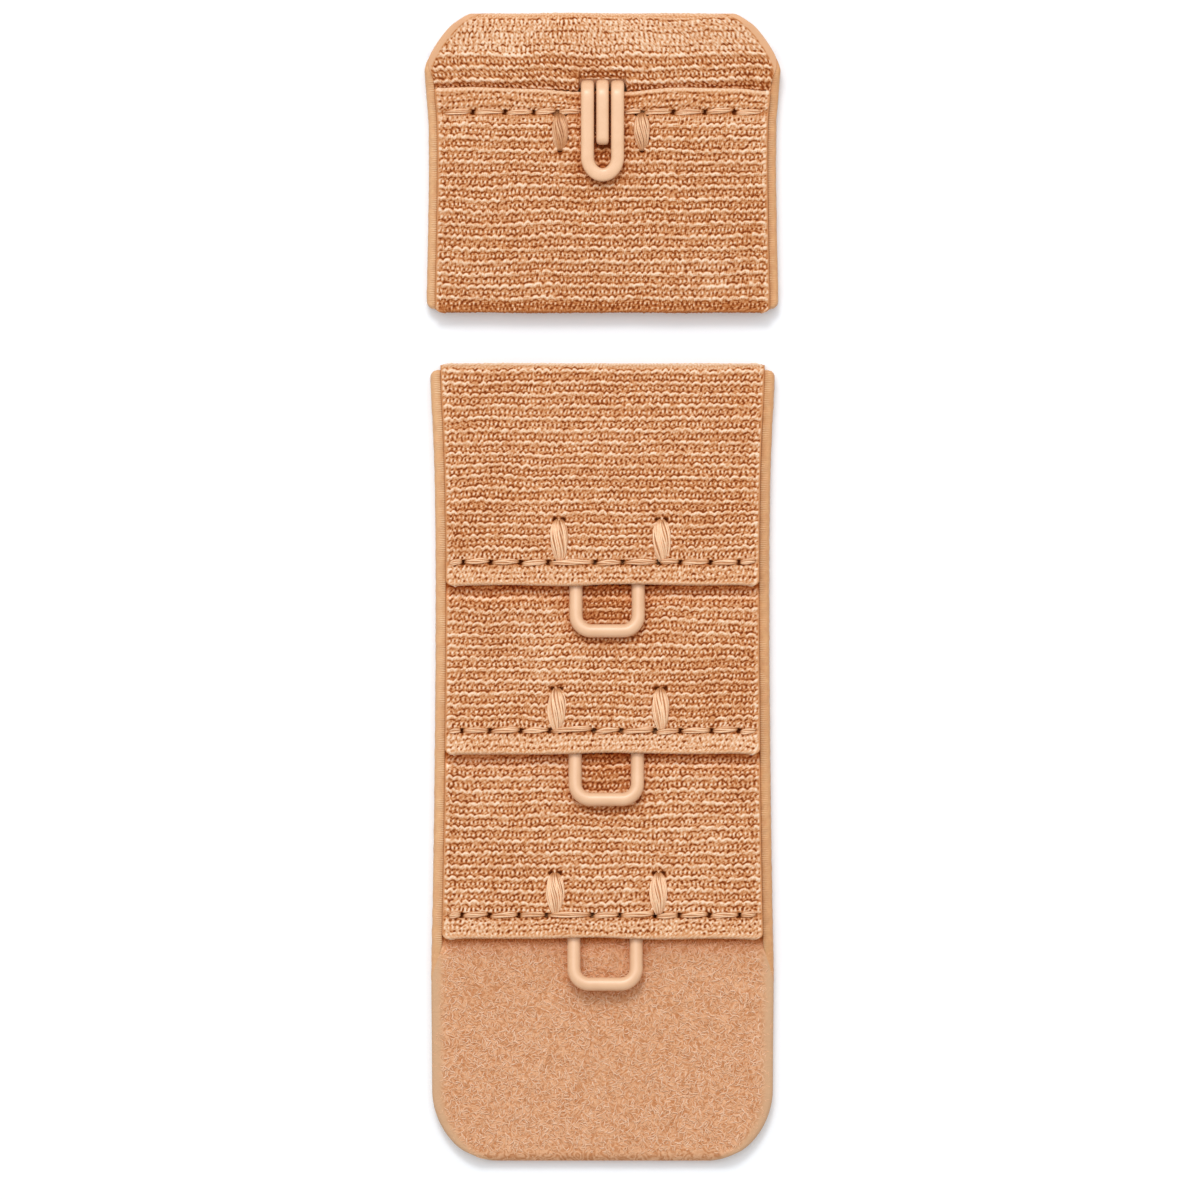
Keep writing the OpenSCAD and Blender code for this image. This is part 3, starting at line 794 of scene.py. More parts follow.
def edge_material(name, tint):
    """The sealed strip: shade runs from 0 at its outer side to 1 beside the knit."""
    look = Look(name, {"Roughness": 0.55, "Specular IOR Level": 0.3})
    across = look.value("shade")
    body = look.ramp(across, [
        (0.0, (0.64, 0.350, 0.172)), (0.30, (0.675, 0.38, 0.192)), (0.62, (0.655, 0.355, 0.175)),
        (0.84, (0.61, 0.305, 0.135)), (0.93, (0.48, 0.20, 0.070)), (1.0, (0.36, 0.12, 0.035))])
    # Ribs across the strip, with a pitch of 0.16 mm, which fade out in patches
    wave = look.node("TexWave", {"Scale": 314.16 / 0.16, "Distortion": 3.5, "Detail": 2.0,
                                 "Detail Scale": 0.5,
                                 "Vector": look.node("TexCoord", {}).outputs["Object"]},
                     bands_direction="Y")
    dash = look.ramp(wave.outputs["Fac"], [(0.50, 0), (0.85, 1)])
    place = look.ramp(across, [(0.20, 0), (0.50, 0.75), (0.84, 0.85), (0.94, 0.3)])
    patches = look.ramp(look.noise(1100.0, 2.0), [(0.38, 0.15), (0.62, 1)])
    ribs = look.mix("MULTIPLY", 1.0, look.mix("MULTIPLY", 1.0, dash, place), patches)
    spots = look.noise(3600.0, 4.0)
    colour = look.mix("OVERLAY", 0.26, body, spots)
    colour = look.mix("MIX", ribs, colour, (0.88, 0.60, 0.37))
    colour = look.mix("MULTIPLY", 1.0, colour, tint)
    return look.done(colour, Normal=look.bump(spots, 0.3, 0.00004,
                                              Normal=look.bump(ribs, 0.6, 0.00004)))


def coat_material():
    look = Look("coated_wire", {"Roughness": 0.38, "Specular IOR Level": 0.5, "Coat Weight": 0.22,
                                "Coat Roughness": 0.25})
    tone = look.ramp(look.noise(900.0, 3.0),
                     [(0.3, (0.755, 0.452, 0.265)), (0.7, (0.805, 0.500, 0.304))])
    return look.done(tone, Normal=look.bump(look.noise(3000.0, 2.0), 0.12, 0.00003))


def thread_material():
    """Sewing thread. Its shade falls towards the holes at its ends."""
    look = Look("thread", {"Roughness": 0.45, "Specular IOR Level": 0.35})
    fibre = look.noise(5200.0, 3.0)
    body = look.ramp(look.value("shade"), [
        (0.0, (0.20, 0.055, 0.014)), (0.45, (0.56, 0.25, 0.10)), (1.0, (0.90, 0.59, 0.37))])
    return look.done(look.mix("OVERLAY", 0.35, body, fibre),
                     Normal=look.bump(fibre, 0.4, 0.00004))


KNIT, PLUSH, PILE = knit_material(), plush_material(), pile_material()
# The right strips take a darker, more saturated copy of the same colour: painted shade
EDGES = {-1: edge_material("sealed_edge_left", (1.0, 0.99, 0.96)),
         1: edge_material("sealed_edge_right", (0.96, 0.89, 0.80))}
COAT, THREAD = coat_material(), thread_material()


def make_guard():
    """The hook half's rear layer, whose upper end folds over to the front above the crease."""
    end_y, r, low_y = 40.5, 0.81, 20.01
    top = [(35.92, 1.55), (35.98, 1.68), (36.14, 1.80), (36.50, 1.92), (37.4, 2.02), (38.6, 2.05),
           (end_y, 2.05)]
    runs = [(top, GRID), (arc(end_y, 1.24, r, 90, 0), GRID), (
        [(end_y + r, 1.24)] + arc(end_y, r, r, 0, -90)[1:], 0.15)]
    runs += straight([(end_y, 0.0), (38.5, 0.0), (36.1, 0.0), (low_y, 0.0), (low_y, 0.96),
                      (35.88, 0.96)], (0.6, 0.4, 1.6, 0.5, 2.4))
    runs.append(([(35.88, 0.96), (35.91, 1.02), (35.92, 1.55)], 0.2))
    at, s_top = along(top)
    s_far = s_top + 0.5 * math.pi * r
    down = lambda y: s_far - at(y)
    # Its shadows are painted shade in the tone: above the hook, into the crease, and a dark line at
    # the crease
    rel = knit(12.9, s_far, 11, course_lines(down, 38.32, 0.915, 4),
               bars=[(0.865, 0.955, WideBars)], plain=[(-1, 0.50, 0.74)],
               shadows=[(0, 2.5, down(36.80), 0.34, 0.17), (0, 20, down(36.0), 0.30, 0.08),
                        (0, 20, down(35.80), 0.12, 0.30)])
    rel.turn_round(s_far)

    def half(y):
        return hook_half(y) - hook_strip(y) - CLEAR * step(38.4, 38.0, y)

    def shift(x, s):
        low = 1 - step(0.3, 1.9, s)
        at_hook = 1 - step(1.60, 1.76, np.abs(x))
        return low * (crease_dip(x) * (1 - at_hook) + 0.62 * at_hook) * (s < s_far + 1)

    def rim(x, y):
        slope = (hook_half(y + 0.05) - hook_half(y - 0.05)) / 0.1
        return (hook_half(y) - np.abs(x)) / np.sqrt(1 + slope ** 2)

    obj = cloth("hook_guard_cloth", runs, half, KNIT, (rel, 0.0, s_far),
                edge=lambda y: 0.05 + 0.27 * step(38.0, 38.8, y), shift=shift, plush_y=40.4,
                margin=(0.48, 0.64), base_shade=0.67, rim=rim)
    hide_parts("hook_guard")


def make_hook_panel():
    """The hook half's front layer, from its turned upper rim down."""
    seam, wall_y = HOOK_STITCH_Y, 35.70
    rim_y, rim_z, r = 35.90, 2.26, 0.24
    low_y, low_z, r2 = 19.78, 1.88, 0.26
    wall = [(wall_y, FLAT_Z), (rim_y - 0.02, FLAT_Z + 0.3), (rim_y, rim_z - r)]
    top = [(rim_y - r, rim_z), (34.75, 2.27), (seam + 0.28, 2.22), (seam, 2.12),
           (seam - 0.28, 2.20), (33.0, 2.27), (30.0, 2.24), (25.0, 2.10), (21.0, 1.93),
           (low_y + r2, low_z)]
    runs = [(wall, 0.2), (arc(rim_y - r, rim_z - r, r, 0, 90, 8), GRID), (top, GRID),
            (arc(low_y + r2, low_z - r2, r2, 90, 180, 8), GRID)]
    runs += straight([(low_y, low_z - r2), (low_y + 0.05, FLAT_Z), (wall_y, FLAT_Z)], (0.2, 2.0))
    s_wall = lengths(wall)[-1]
    s_top = s_wall + 0.5 * math.pi * r
    at, s_len = along(top, s_top)
    s_end = s_top + s_len + 0.5 * math.pi * r2
    holes = [(x, at(seam), 0.18) for x in HOOK_HOLES]
    for x, a, b in HOOK_TACKS:
        holes += [(x - 0.34, at(a), 0.18), (x + 0.32, at(a), 0.18), (x, at(b), 0.19),
                  (x + 0.48, at(32.3), 0.12)]
    # Painted shade in the knit's tone along the seam, round and inside the hook, under the rim and
    # towards the bottom fold, a painted shadow line in the crease above the rim, and the rim itself
    # painted light as a bright line
    by_seam = (0, 30, at(seam), 0.24, 0.20)
    rel = knit(12.1, s_end, 23, course_lines(at, 33.245, 0.887, 15),
               nets=[(at(33.72), 0.44, 0.2), (at(20.08), 0.4, 0.1)], holes=holes,
               plain=[(s_end - 0.30, s_end + 1, 0.60)],
               shadows=[(0, 1.9, at(33.2), 3.9, 0.22), by_seam, (0, 0.95, at(33.2), 1.5, 0.5),
                        (0, 20, at(20.15), 0.36, 0.24), (0, 20, s_end + 0.15, 0.35, 0.26)])
    upper = knit(12.1, s_end, 24, bars=[(at(35.47), 0.47, CloseBars)], holes=holes,
                 plain=[(s_wall - 0.5, s_wall + 0.36, 0.82)],
                 shadows=[(0, 2.2, at(35.2), 0.6, 0.15), (0, 20, s_wall, 0.09, 0.5),
                          (0, 20, at(35.2), 0.75, 0.085), by_seam, (0, 0.95, at(34.6), 1.6, 0.65)])
    blend = step(at(34.30), at(34.06), rel.grid()[1])
    rel.h = upper.h * (1 - blend) + rel.h * blend
    rel.shade = upper.shade * (1 - blend) + rel.shade * blend

    def half(y):
        return hook_half(y) - HOOK_EDGE - CLEAR - 1.2 * corner(y - low_y, 0.35)

    def shift(x, s):
        return crease_dip(x) * (1 - step(s_top + 0.3, s_top + 1.9, s)) * (s < s_end)

    def carve(x, y, z, s):
        lift = (1 - step(3.68, 3.95, np.abs(x))) * step(30.9, 31.3, y)
        low = (s > s_end + 0.3) | (s < s_wall * 0.5)
        return np.where(low, np.maximum(z, FLAT_Z + lift * 0.78), z)

    obj = cloth("hook_panel_cloth", runs, half, KNIT, (rel, s_wall * 0.5, s_end + 0.15),
                shift=shift, carve=carve, wire=(0, 0, BILL_HALF, BILL_LOW + BILL_END, 36.1))
    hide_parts("hook_panel")


def make_row(k):
    """A flap of the eye half, with the rolled edge at its fold."""
    top_y, fold_y, seam = TOPS[k], FOLDS[k], ROW_STITCH_Y[k]
    tuck = 1.05 if k else 0.0
    start, back = top_y + tuck, fold_y + 1.12
    under, z_fold, r, r2 = START_Z + 0.05, ROW_Z + 0.02, 0.16, 0.62
    high = lambda y: float(row_height(k, y))
    top = [(start, high(start)), (seam + 0.55, high(seam + 0.55)), (seam + 0.22, high(seam) - 0.05),
           (seam, high(seam) - 0.13), (seam - 0.22, high(seam) - 0.03),
           (seam - 0.5, high(seam) + 0.02), (fold_y + r, z_fold)]
    nose = (arc(fold_y + r, z_fold - r, r, 90, 180, 8) + [(fold_y, under + r2)]
            + arc(fold_y + r2, under + r2, r2, 180, 270, 8))
    runs = [(top, GRID), (nose, GRID)]
    runs += straight([(fold_y + r2, under), (back, under), (back, FLAT_Z), (start, FLAT_Z),
                      (start, high(start))], (0.25, 0.25, 2.2, 0.2))
    at, s_top = along(top)
    s_nose = s_top + 0.5 * math.pi * r
    holes = [(x, at(seam), 0.18) for x in ROW_HOLES[k]]
    for x, a, b in ROW_TACKS[k]:
        holes += [(x - 0.30, at(a), 0.17), (x + 0.30, at(a), 0.17), (x - 0.2, at(b), 0.16),
                  (x + 0.2, at(b), 0.16)]
    plain = [(s_top - 0.04, s_nose + 3, 0.68)]
    # Shadows painted into the tone along the seam, and under the row above and its eye. Negative
    # amounts are lighter places.
    shadows = [(0, 30, at(seam), 0.24, 0.20)]
    if k:
        shadows += [(0, 30, at(seam - 0.8), 0.6, -0.055) if k == 1 else (0, 30, 6.0, 9.0, -0.02),
                    (EYE_X[k - 1], 3.1, at(top_y - 2.1), 2.35, 0.14),
                    (0, 20, at(top_y - 0.02), 0.13, 0.40)]
    else:
        plain.append((-1, 0.12, 0.74))
        shadows.append((0, 20, 0.28, 0.30, -0.14))
    rel = knit(12.0, s_nose, 41 + 7 * k, course_lines(at, *COURSES[k]),
               nets=[(at(seam + 0.36), 0.36, 0.1)], bars=[(at(seam - 0.27), 0.43, CloseBars)],
               holes=holes, plain=plain, shadows=shadows)

    def half(y):
        top_corner = 0 if k else 1.6 * corner(top_y - y, 0.30)
        return eye_half(y) - EYE_EDGE - CLEAR - corner(y - fold_y, 0.45) - top_corner

    def shift(x, s):
        low = step(s_top - 2.0, s_top, s) * (s < s_nose + 3)
        wave = 0.05 * np.sin(x * 0.5 + 1.3 * k) * np.exp(-(x / 8) ** 4)
        return low * (wave - 0.08 * step(9.5, 11.3, np.abs(x)) + 0.05 * bell(x - EYE_X[k], 1.6))

    def carve(x, y, z, s):
        beside = np.abs(x - EYE_X[k])
        near = 1 - step(0.50, 0.78, np.abs(beside - EYE_LEG))
        wire_top = WIRE_Z + WIRE / 2 + 0.05 - (y - fold_y) * math.tan(EYE_TILT)
        ring = (1 - step(4.95, 5.2, beside)) * (y < fold_y + 4.95)
        need = np.where(y < fold_y + 1.1, near, np.maximum(near, ring)) * (y < fold_y + 5.0)
        return np.where(s > s_nose + 0.2, np.maximum(z, z + need * (wire_top - z)), z)

    obj = cloth("eye_panel_%d_cloth" % (k + 1), runs, half, KNIT,
                (rel, 0.3 if k else -0.2, s_nose + 0.6), shift=shift, carve=carve,
                fold=FOLDS[k - 1] if k else None, wire=eye_wire(k - 1) if k else None)
    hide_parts("eye_panel_%d" % (k + 1))


def make_backing():
    """The eye half's rear layer, with the brushed tail."""
    top, tail, low, r = 16.0, FOLDS[2] + 1.05, -40.60, 0.71
    runs = [([(top, 0.96), (tail, 0.96)], 2.4),
            ([(tail, 0.96), (tail - 0.1, 1.30), (FOLDS[2] - 0.2, TAIL_Z)], 0.15),
            ([(FOLDS[2] - 0.2, TAIL_Z), (low, TAIL_Z)], 0.2), (arc(low, r, r, 90, 270), 0.12)]
    runs += straight([(low, 0.0), (-28.8, 0.0), (-25.2, 0.0), (top, 0.0), (top, 0.96)],
                     (1.6, 0.4, 1.6, 0.3))
    above = sum(lengths(points)[-1] for points, _ in runs[:3]) + 0.6
    lumps = Waves(77, 14, 0.7, 2.6)
    small = Waves(78, 18, 0.35, 0.8)

    def half(y):
        return eye_half(y) - eye_strip(y) - CLEAR * step(-28.8, -28.4, y)

    def extra(x, s, y):
        away = eye_half(y) - np.abs(x)
        on = step(0.0, 0.5, away) * (1 - step(above - 0.3, above, s))
        bumps = 0.010 * lumps(x, s) + 0.006 * small(x, s)
        return on * bumps - side_drop(away), 1 - step(0.35, 1.15, away)

    obj = cloth("eye_backing_cloth", runs, half, PLUSH, edge=0.001, gap=0.2, extra=extra,
                base_shade=0.0, fold=FOLDS[2], wire=eye_wire(2))
    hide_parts("eye_backing")


def make_pile():
    """Short bent locks of the brushed tail, each a fibre of four rings with three points."""
    g = np.random.default_rng(5)
    count = 9300
    place = np.arange(count) * np.array([[0.7548776662], [0.5698402910]])
    place = (place + g.normal(0, 0.002, (2, count))) % 1
    y = EYE_END + 0.1 + place[0] * (FOLDS[2] + 0.30 - EYE_END - 0.1)
    x = (2 * place[1] - 1) * (eye_half(y) - 0.1)
    edge = np.minimum(eye_half(y) - np.abs(x), y - EYE_END)
    keep = g.random(count) < 0.10 + 0.90 * step(0.25, 1.15, edge)
    x, y, edge = x[keep], y[keep], edge[keep]
    count = len(x)
    inside = step(0.3, 1.2, edge)
    length = g.uniform(0.36, 0.70, count) * (0.6 + 0.4 * inside)
    # Ways that flow together, and straight down just below the fold
    way = 3.2 * Waves(91, 12, 0.9, 3.2)(x, y) + g.normal(0, 0.30, count)
    by_fold = bell(y - FOLDS[2], 0.8)
    way = way * (1 - by_fold) + by_fold * (math.pi / 2 + g.normal(0, 0.3, count))
    bend = g.choice([-1, 1], count) * g.uniform(0.2, 1.5, count)
    a = way[:, None] + bend[:, None] * np.array([-0.5, 0.0, 0.5])
    px, py = (np.concatenate([np.zeros((count, 1)), np.cumsum(f(a), 1) * length[:, None] / 3], 1)
              for f in (np.cos, np.sin))
    px = x[:, None] + px - px.mean(1)[:, None]
    py = np.clip(y[:, None] + py - py.mean(1)[:, None], EYE_END + 0.10, FOLDS[2] + 0.42)
    lim = np.minimum(eye_half(py), eye_half(py - 0.1)) - 0.06
    px = np.clip(px, -lim, lim)
    # level sets each fibre's height and tone: higher fibres are painted lighter and lower ones
    # darker, as light and shade, with some tone at random
    level = g.uniform(0.0, 1.0, count)
    high = (0.028 + 0.050 * level) * (0.3 + 0.7 * inside)
    end_r = 0.71
    end_drop = end_r - np.sqrt(end_r ** 2 - np.clip(end_r - (py - EYE_END), 0, 0.70) ** 2)
    pz = (TAIL_Z - 0.012 - end_drop - side_drop(eye_half(py) - np.abs(px))
          + high[:, None] * np.array([-0.5, 0.9, 1.0, -0.5]))
    p = np.stack([px, py, pz], -1)
    tan = np.gradient(p, axis=1)
    tan /= np.maximum(np.linalg.norm(tan, axis=2), 1e-9)[..., None]
    across = np.cross(tan, UP)
    across /= np.maximum(np.linalg.norm(across, axis=2), 1e-6)[..., None]
    up = np.cross(across, tan)
    r = (g.uniform(0.034, 0.050, count)[:, None] * np.array([0.45, 1.0, 0.95, 0.35]))[..., None]
    ring = p[:, :, None] + np.stack([(across - 0.3 * up) * r, up * 0.5 * r,
                                     -(across + 0.3 * up) * r], 2)
    base = np.arange(count)[:, None] * 12
    faces = [face for pattern in tube_faces(4, 3) for face in (base + np.array(pattern)).tolist()]
    at_side = 1 - step(0.3, 1.1, edge)
    shade = (0.08 + 0.80 * level + g.normal(0, 0.14, count)) * (1 - at_side) + 0.45 * at_side
    obj = make_mesh("tail_pile", ring.reshape(-1, 3), faces, PILE, smooth=False,
                    shade=np.repeat(np.clip(shade, 0, 1), 12),
                    **painted_shade_and_lift(*np.moveaxis(ring, -1, 0), FOLDS[2], eye_wire(2)))


def make_edge(name, half, width, y_top, y_low, side, node, seed, top_round, low_round, height):
    """A sealed edge strip, a little lumpy, with rounded ends. Its shade runs from its outer side
    to the knit."""
    g = Waves(seed, 10, 0.4, 2.2)
    ys = np.concatenate([np.arange(y_top, y_low + 0.7, -0.1), np.linspace(y_low + 0.65, y_low, 14)])
    ys = ys[:, None]
    w = half(ys)
    outer = w - corner(y_top - ys, top_round) - corner(ys - y_low, low_round)
    inner = np.minimum(w - np.maximum(width(ys), 0.03), outer - 0.02) - 0.012
    ends = corner(y_top - ys, 0.3) / 0.3 + corner(ys - y_low, 0.3) / 0.3
    high = height(ys) * (1 - 0.25 * ends)
    # Section of the strip: share of its width from the knit, and share of its height
    section = np.array([(1.0, 0.0), (1.0, 0.55), (0.985, 0.80), (0.92, 0.93), (0.78, 1.0),
                        (0.60, 1.03), (0.42, 1.06), (0.25, 1.11), (0.12, 1.16), (0.03, 1.19),
                        (0.0, 1.16), (0.0, 0.0)])
    a, b = section.T[:, None]
    X = inner + a * (outer - inner) + 0.010 * g(ys, b * 2) * (a > 0.5)
    b = np.where(b > 1, 1 + (b - 1) * (1 - step(35.4, 36.6, ys)), b)
    Z = b * (high + 0.02 * g(ys + 30, a))
    flush = 1 - step(-26.6, -25.3, ys)
    drop = side_drop((1 - a) * (outer - inner))
    Z = Z + flush * (np.where(b > 0.5, TAIL_Z - drop, drop) - Z)
    verts = np.stack([side * X, np.broadcast_to(ys, X.shape), Z], -1).reshape(-1, 3)
    shade = (1 - a) * step(-26.5, -25.2, ys) * (1 - 0.8 * step(36.2, 37.8, ys))
    obj = make_mesh(name, verts, tube_faces(*X.shape), EDGES[side], shade=shade)
    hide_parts(node)


def make_hook():
    """The wire hook: a bent bill with a tongue in its middle."""
    height = 0.88
    mid_z, r = (SHANK_Z + BILL_Z) / 2, (BILL_Z - SHANK_Z) / 2
    bend_y = BEND_TOP - r - height / 2
    end_y = BILL_LOW + BILL_END

    def leg(x, foot, reach, low, shank_points, bill_points):
        """A wire from its foot over the bend and down: places, and axes across and up."""
        shank = np.linspace(foot, bend_y, shank_points)[:-1]
        made = [((x, y, SHANK_Z), RIGHT, (0, 0, -1)) for y in shank]
        for a in np.radians(np.linspace(-90, 90, 17)):
            c, s = math.cos(a), math.sin(a)
            made.append(((x, bend_y + reach * c, mid_z + r * s), RIGHT, (0, c, s)))
        bill = np.linspace(bend_y, low, bill_points)[1:-1]
        return made + [((x, y, BILL_Z), RIGHT, UP) for y in bill]

    left, bow = leg(-BILL_HALF, 32.8, r, end_y, 8, 16), []
    for a in np.radians(np.linspace(180, 360, 33)):
        c, s = math.cos(a), math.sin(a)
        inward = tuple(Vector((-c / BILL_HALF, -s / BILL_END, 0)).normalized())
        bow.append(((BILL_HALF * c, end_y + BILL_END * s, BILL_Z - 0.02 * abs(s)), inward, UP))
    right = [((-x, y, z), (-1, 0, 0), up) for (x, y, z), _, up in left[::-1]]
    parts = [sweep(*zip(*left, *bow, *right), rounded(0.955, height))]
    # The tongue, with its end turned down, and the wire that joins its foot to the shanks
    tip_y, tip_r = BEND_TOP - 4.18, 0.06
    tongue = leg(0, 33.7, r + 0.05, tip_y, 7, 12)
    for a in np.radians(np.linspace(90, 175, 9)):
        c, s = math.cos(a), math.sin(a)
        tongue.append(((0, tip_y + tip_r * c, BILL_Z - tip_r + tip_r * s), RIGHT, (0, c, s)))
    parts.append(sweep(*zip(*tongue), rounded(0.915, height)))
    cross = [(x, 33.7, SHANK_Z) for x in np.linspace(-1.0, 1.0, 5)]
    parts.append(sweep(cross, (0, 1, 0), UP, rounded(0.7, 0.8, 2.0, 16)))
    # Hidden sewing loops
    for side in (-1, 1):
        cx, cy, loop_r = side * (BILL_HALF + 1.05), 32.64, 1.05
        ways = [(math.cos(a), math.sin(a), 0)
                for a in np.radians(90 + side * np.linspace(90, -180, 24))]
        path = [(cx + loop_r * c, cy + loop_r * s, SHANK_Z) for c, s, _ in ways]
        parts.append(sweep(path, ways, (0, 0, -side), rounded(0.94, 0.86, 2.4, 20)))
    verts, faces = join(parts)
    obj = make_mesh("hook_wire", verts, faces, COAT)
    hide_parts("hook")


def make_eye(k):
    """A wire eye with its two hidden sewing loops, tilted about its fold."""
    back, loop_r = 3.2, 1.15
    corner_x, corner_y = EYE_LEG - EYE_TURN, EYE_LOW + EYE_TURN
    right = (arc(EYE_LEG + loop_r, back, loop_r, -90, 180, 26)
             + [(EYE_LEG, y) for y in np.linspace(back, corner_y, 14)[1:-1]]
             + arc(corner_x, corner_y, EYE_TURN, 0, -90))
    foot = [(x, EYE_LOW) for x in np.linspace(corner_x, -corner_x, 8)[1:-1]]
    points = np.array(right + foot + [(-x, y) for x, y in right[::-1]])
    tan = np.gradient(points, axis=0)
    tan /= np.linalg.norm(tan, axis=1)[:, None]
    c, s = math.cos(EYE_TILT), math.sin(EYE_TILT)
    path = [(EYE_X[k] + x, FOLDS[k] + y * c, WIRE_Z - y * s) for x, y in points]
    across = [(y, -x * c, x * s) for x, y in tan]
    verts, faces = sweep(path, across, (0, s, c), rounded(WIRE, WIRE, 2.15, 24))
    obj = make_mesh("eye_%d_wire" % (k + 1), verts, faces, COAT)
    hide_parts("eye_%d" % (k + 1))


def stitch_bundle(xa, xb, y, z, g):
    """One running stitch: strands twisted round each other that sink into a hole at each end."""
    parts = []
    t = np.linspace(0, 1, 13)
    rise = g.normal(0.13, 0.05)
    span = np.sin(math.pi * np.clip(t, 0.02, 0.98)) ** 0.5
    x = xa + 0.10 + (xb - xa - 0.20) * t
    middle = y + rise * (t - 0.5) + 0.04 * np.sin(math.pi * t)
    turns = g.normal(1.5, 0.25) * (xb - xa) / 2
    start = g.uniform(0, 2 * math.pi)
    # Painted shade: the tone falls towards the ends, where the strands sink into the holes
    ends = 1 - 0.85 * (2 * np.abs(t - 0.5)) ** 5
    for q in range(4):
        turn = start + 0.5 * math.pi * q + turns * (t - 0.5)
        yy = middle + (0.03 + 0.115 * span) * np.cos(turn) + 0.01 * np.sin(9 * t + g.uniform(0, 6))
        zz = z - 0.20 + 0.27 * span + (0.01 + 0.045 * span) * np.sin(turn)
        parts.append(thread(np.stack([x, yy, zz], 1), 0.062 * g.uniform(0.85, 1.2),
                            ends * np.clip(g.normal(0.90, 0.13), 0.6, 1.0), 0.2))
    # Their shared middle, painted dark as the shade in the gaps between the strands
    path = np.stack([x, middle, z - 0.23 + 0.30 * span], 1)
    core = sweep(path, (0, -1, 0), UP, ovals(0.03 + 0.10 * span, 0.02 + 0.04 * span, 8))
    return parts + [(*core, np.repeat(0.12 + 0.25 * span, 8))]


def tack_bundle(x, ya, yb, z, g, wide, bright):
    """A bar tack: filaments twisted round a middle painted dark as the shade between them, gathered
    into a hole at both ends. Their tone is painted darker on the lower half and at the upper end,
    as shade.
    """
    parts = []
    t = np.linspace(0, 1, 15)
    belly = np.sin(math.pi * np.clip(t ** 0.85, 0.015, 0.985))
    across = 0.10 + (wide - 0.10) * belly ** 0.6
    tall = 0.06 + 0.24 * belly ** 0.7
    y = ya + (yb - ya) * t
    middle = z - 0.26 + 0.32 * belly
    count, half_turn = 14, 118
    twist = g.normal(1.25, 0.15)
    # Painted shade: darker on the lower half and at the upper end
    tone = bright * (1 - 0.32 * step(0.50, 1.0, t) - 0.65 * (1 - step(0.02, 0.20, t)))
    for q in range(count):
        turn = (math.radians(-half_turn + 2 * half_turn * (q + 0.5) / count) + g.normal(0, 0.05)
                + twist * (t - 0.5) + 0.10 * np.sin(5 * t + g.uniform(0, 6)))
        loose = 1 + 0.07 * g.normal()
        points = np.stack([x + loose * across * np.sin(turn), y,
                           middle + loose * tall * np.cos(turn)], 1)
        parts.append(thread(points, 0.070 * g.uniform(0.8, 1.2),
                            tone * np.clip(g.normal(0.88, 0.18), 0.45, 1.0), 0.25))
    core = sweep(np.stack([np.full(len(t), x), y, middle], 1), RIGHT, UP,
                 ovals(0.93 * across, 0.93 * tall, 12))
    return parts + [(*core, np.repeat(0.30 * tone, 12))]


def sew(name, bundles):
    """One piece of all the threads given."""
    verts, faces = join(bundles)
    shade = np.clip(np.concatenate([tone for _, _, tone in bundles]), 0, 1)
    make_mesh(name, verts, faces, THREAD, shade=shade)


def make_stitches():
    g = np.random.default_rng(31)
    hook_end, hook_z, beside_hook, row_end = 11.55, 2.16, 1.45, 11.15
    made = []
    for a, b in zip([-hook_end] + HOOK_HOLES, HOOK_HOLES + [hook_end]):
        y = HOOK_STITCH_Y + g.normal(0, 0.03)
        parts = [(a, -beside_hook), (beside_hook, b)] if a < 0 < b else [(a, b)]
        for start, end in parts:
            made += stitch_bundle(start, end, y, hook_z, g)
    sew("hook_seam_stitches", made)
    sew("hook_bar_tacks", [part for x, ya, yb in HOOK_TACKS
                           for part in tack_bundle(x, ya, yb, 2.30, g, 0.50, 0.84)])
    for k in range(3):
        made, y = [], ROW_STITCH_Y[k]
        for a, b in zip([-row_end] + ROW_HOLES[k], ROW_HOLES[k] + [row_end]):
            made += stitch_bundle(a, b, y + g.normal(0, 0.03), float(row_height(k, y)) - 0.02, g)
        sew("row_%d_stitches" % (k + 1), made)
        made = [part for x, ya, yb in ROW_TACKS[k]
                for part in tack_bundle(x, ya, yb, 0.06, g, 0.56, 1.32)]
        for verts, _, _ in made:
            verts[:, 2] += row_height(k, verts[:, 1])
        sew("row_%d_bar_tacks" % (k + 1), made)


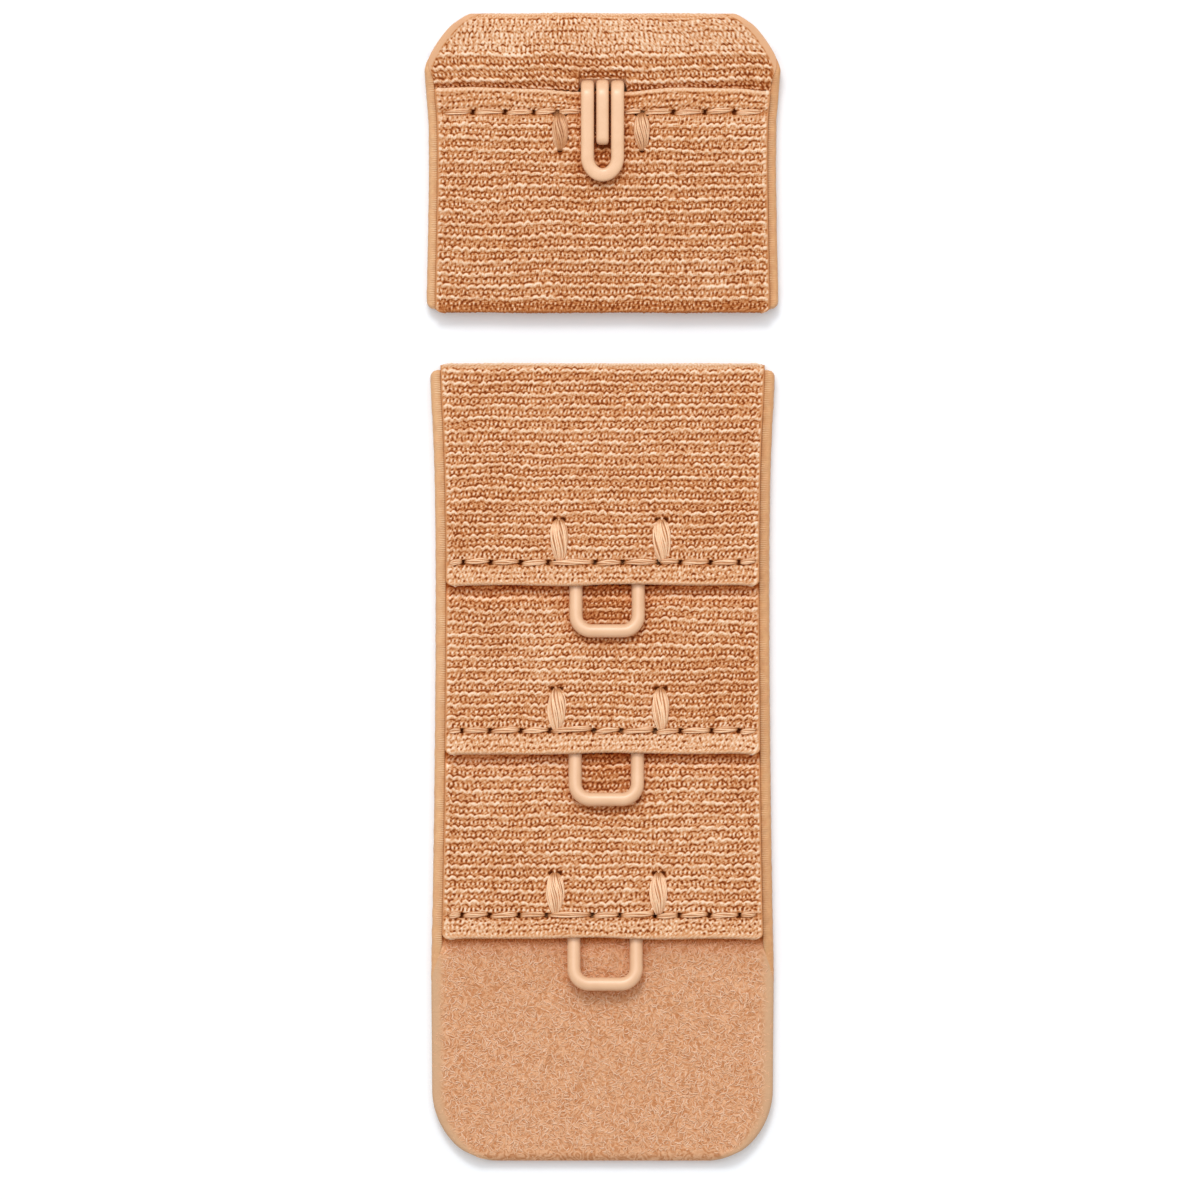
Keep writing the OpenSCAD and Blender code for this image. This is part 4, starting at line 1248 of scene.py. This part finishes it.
make_guard()
make_hook_panel()
make_backing()
for row in range(3):
    make_row(row)
make_pile()
hook_edge_height = lambda y: 1.47 + 0.50 * step(35.6, 37.4, y)
eye_edge_height = lambda y: 1.47 - 0.02 * step(-25, -28, y)
for side, word in ((-1, "left"), (1, "right")):
    make_edge("hook_edge_%s_strip" % word, hook_half, hook_strip, 38.15, 20.03, side,
              "hook_edge_" + word, 61 + side, 0.02, 0.58, hook_edge_height)
    make_edge("eye_edge_%s_strip" % word, eye_half, eye_strip, 15.66, -28.5, side,
              "eye_edge_" + word, 65 + side, 0.55, 0.02, eye_edge_height)
make_hook()
for row in range(3):
    make_eye(row)
make_stitches()

# From here on lengths are in metres.
# The floor lies a hair over the part's flat underside, which stays in sight from below.
FLOOR_Z, FLOOR_SIZE = 0.00005, 2
floor_mesh = bpy.data.meshes.new("floor")
floor_mesh.from_pydata([(x * FLOOR_SIZE, y * FLOOR_SIZE, FLOOR_Z)
                        for x, y in ((-1, -1), (1, -1), (1, 1), (-1, 1))], [], [(0, 1, 2, 3)])
floor = bpy.data.objects.new("floor", floor_mesh)
bpy.context.scene.collection.objects.link(floor)
floor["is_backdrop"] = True
WHITE = (1, 1, 1, 1)
pale = Look("pale_floor", {"Base Color": (0.87, 0.905, 0.945, 1), "Emission Color": WHITE,
                           "Emission Strength": 0.07, "Roughness": 0.9, "Specular IOR Level": 0.1})
floor_mesh.materials.append(pale.material)

world = bpy.data.worlds.new("studio")
world.use_nodes = True
world.node_tree.nodes["Background"].inputs["Color"].default_value = WHITE
world.node_tree.nodes["Background"].inputs["Strength"].default_value = 0.58
bpy.context.scene.world = world


def area_light(name, place, size, power):
    """A square light that looks at the middle of the part."""
    data = bpy.data.lights.new(name, "AREA")
    data.shape = "SQUARE"
    data.size = size
    data.energy = power
    obj = bpy.data.objects.new(name, data)
    obj.location = place
    obj.rotation_mode = "QUATERNION"
    obj.rotation_quaternion = (-Vector(place)).to_track_quat("-Z", "Y")
    bpy.context.scene.collection.objects.link(obj)


area_light("soft", (-0.05, 0.40, 0.85), 0.90, 4.4)
area_light("key", (-0.06, 0.40, 0.62), 0.16, 1.5)

camera = bpy.data.cameras.new("camera")
camera.sensor_width = 36
camera.lens = 500
camera.clip_end = 10
eye_point = bpy.data.objects.new("camera", camera)
eye_point.location = (-0.00018, -0.00092, 1.2015)
bpy.context.scene.collection.objects.link(eye_point)
bpy.context.scene.camera = eye_point
bpy.context.scene.view_settings.view_transform = "Standard"

low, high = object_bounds()
{"cad": [list(cad_low), list(cad_high)], "visual": [list(low), list(high)]}
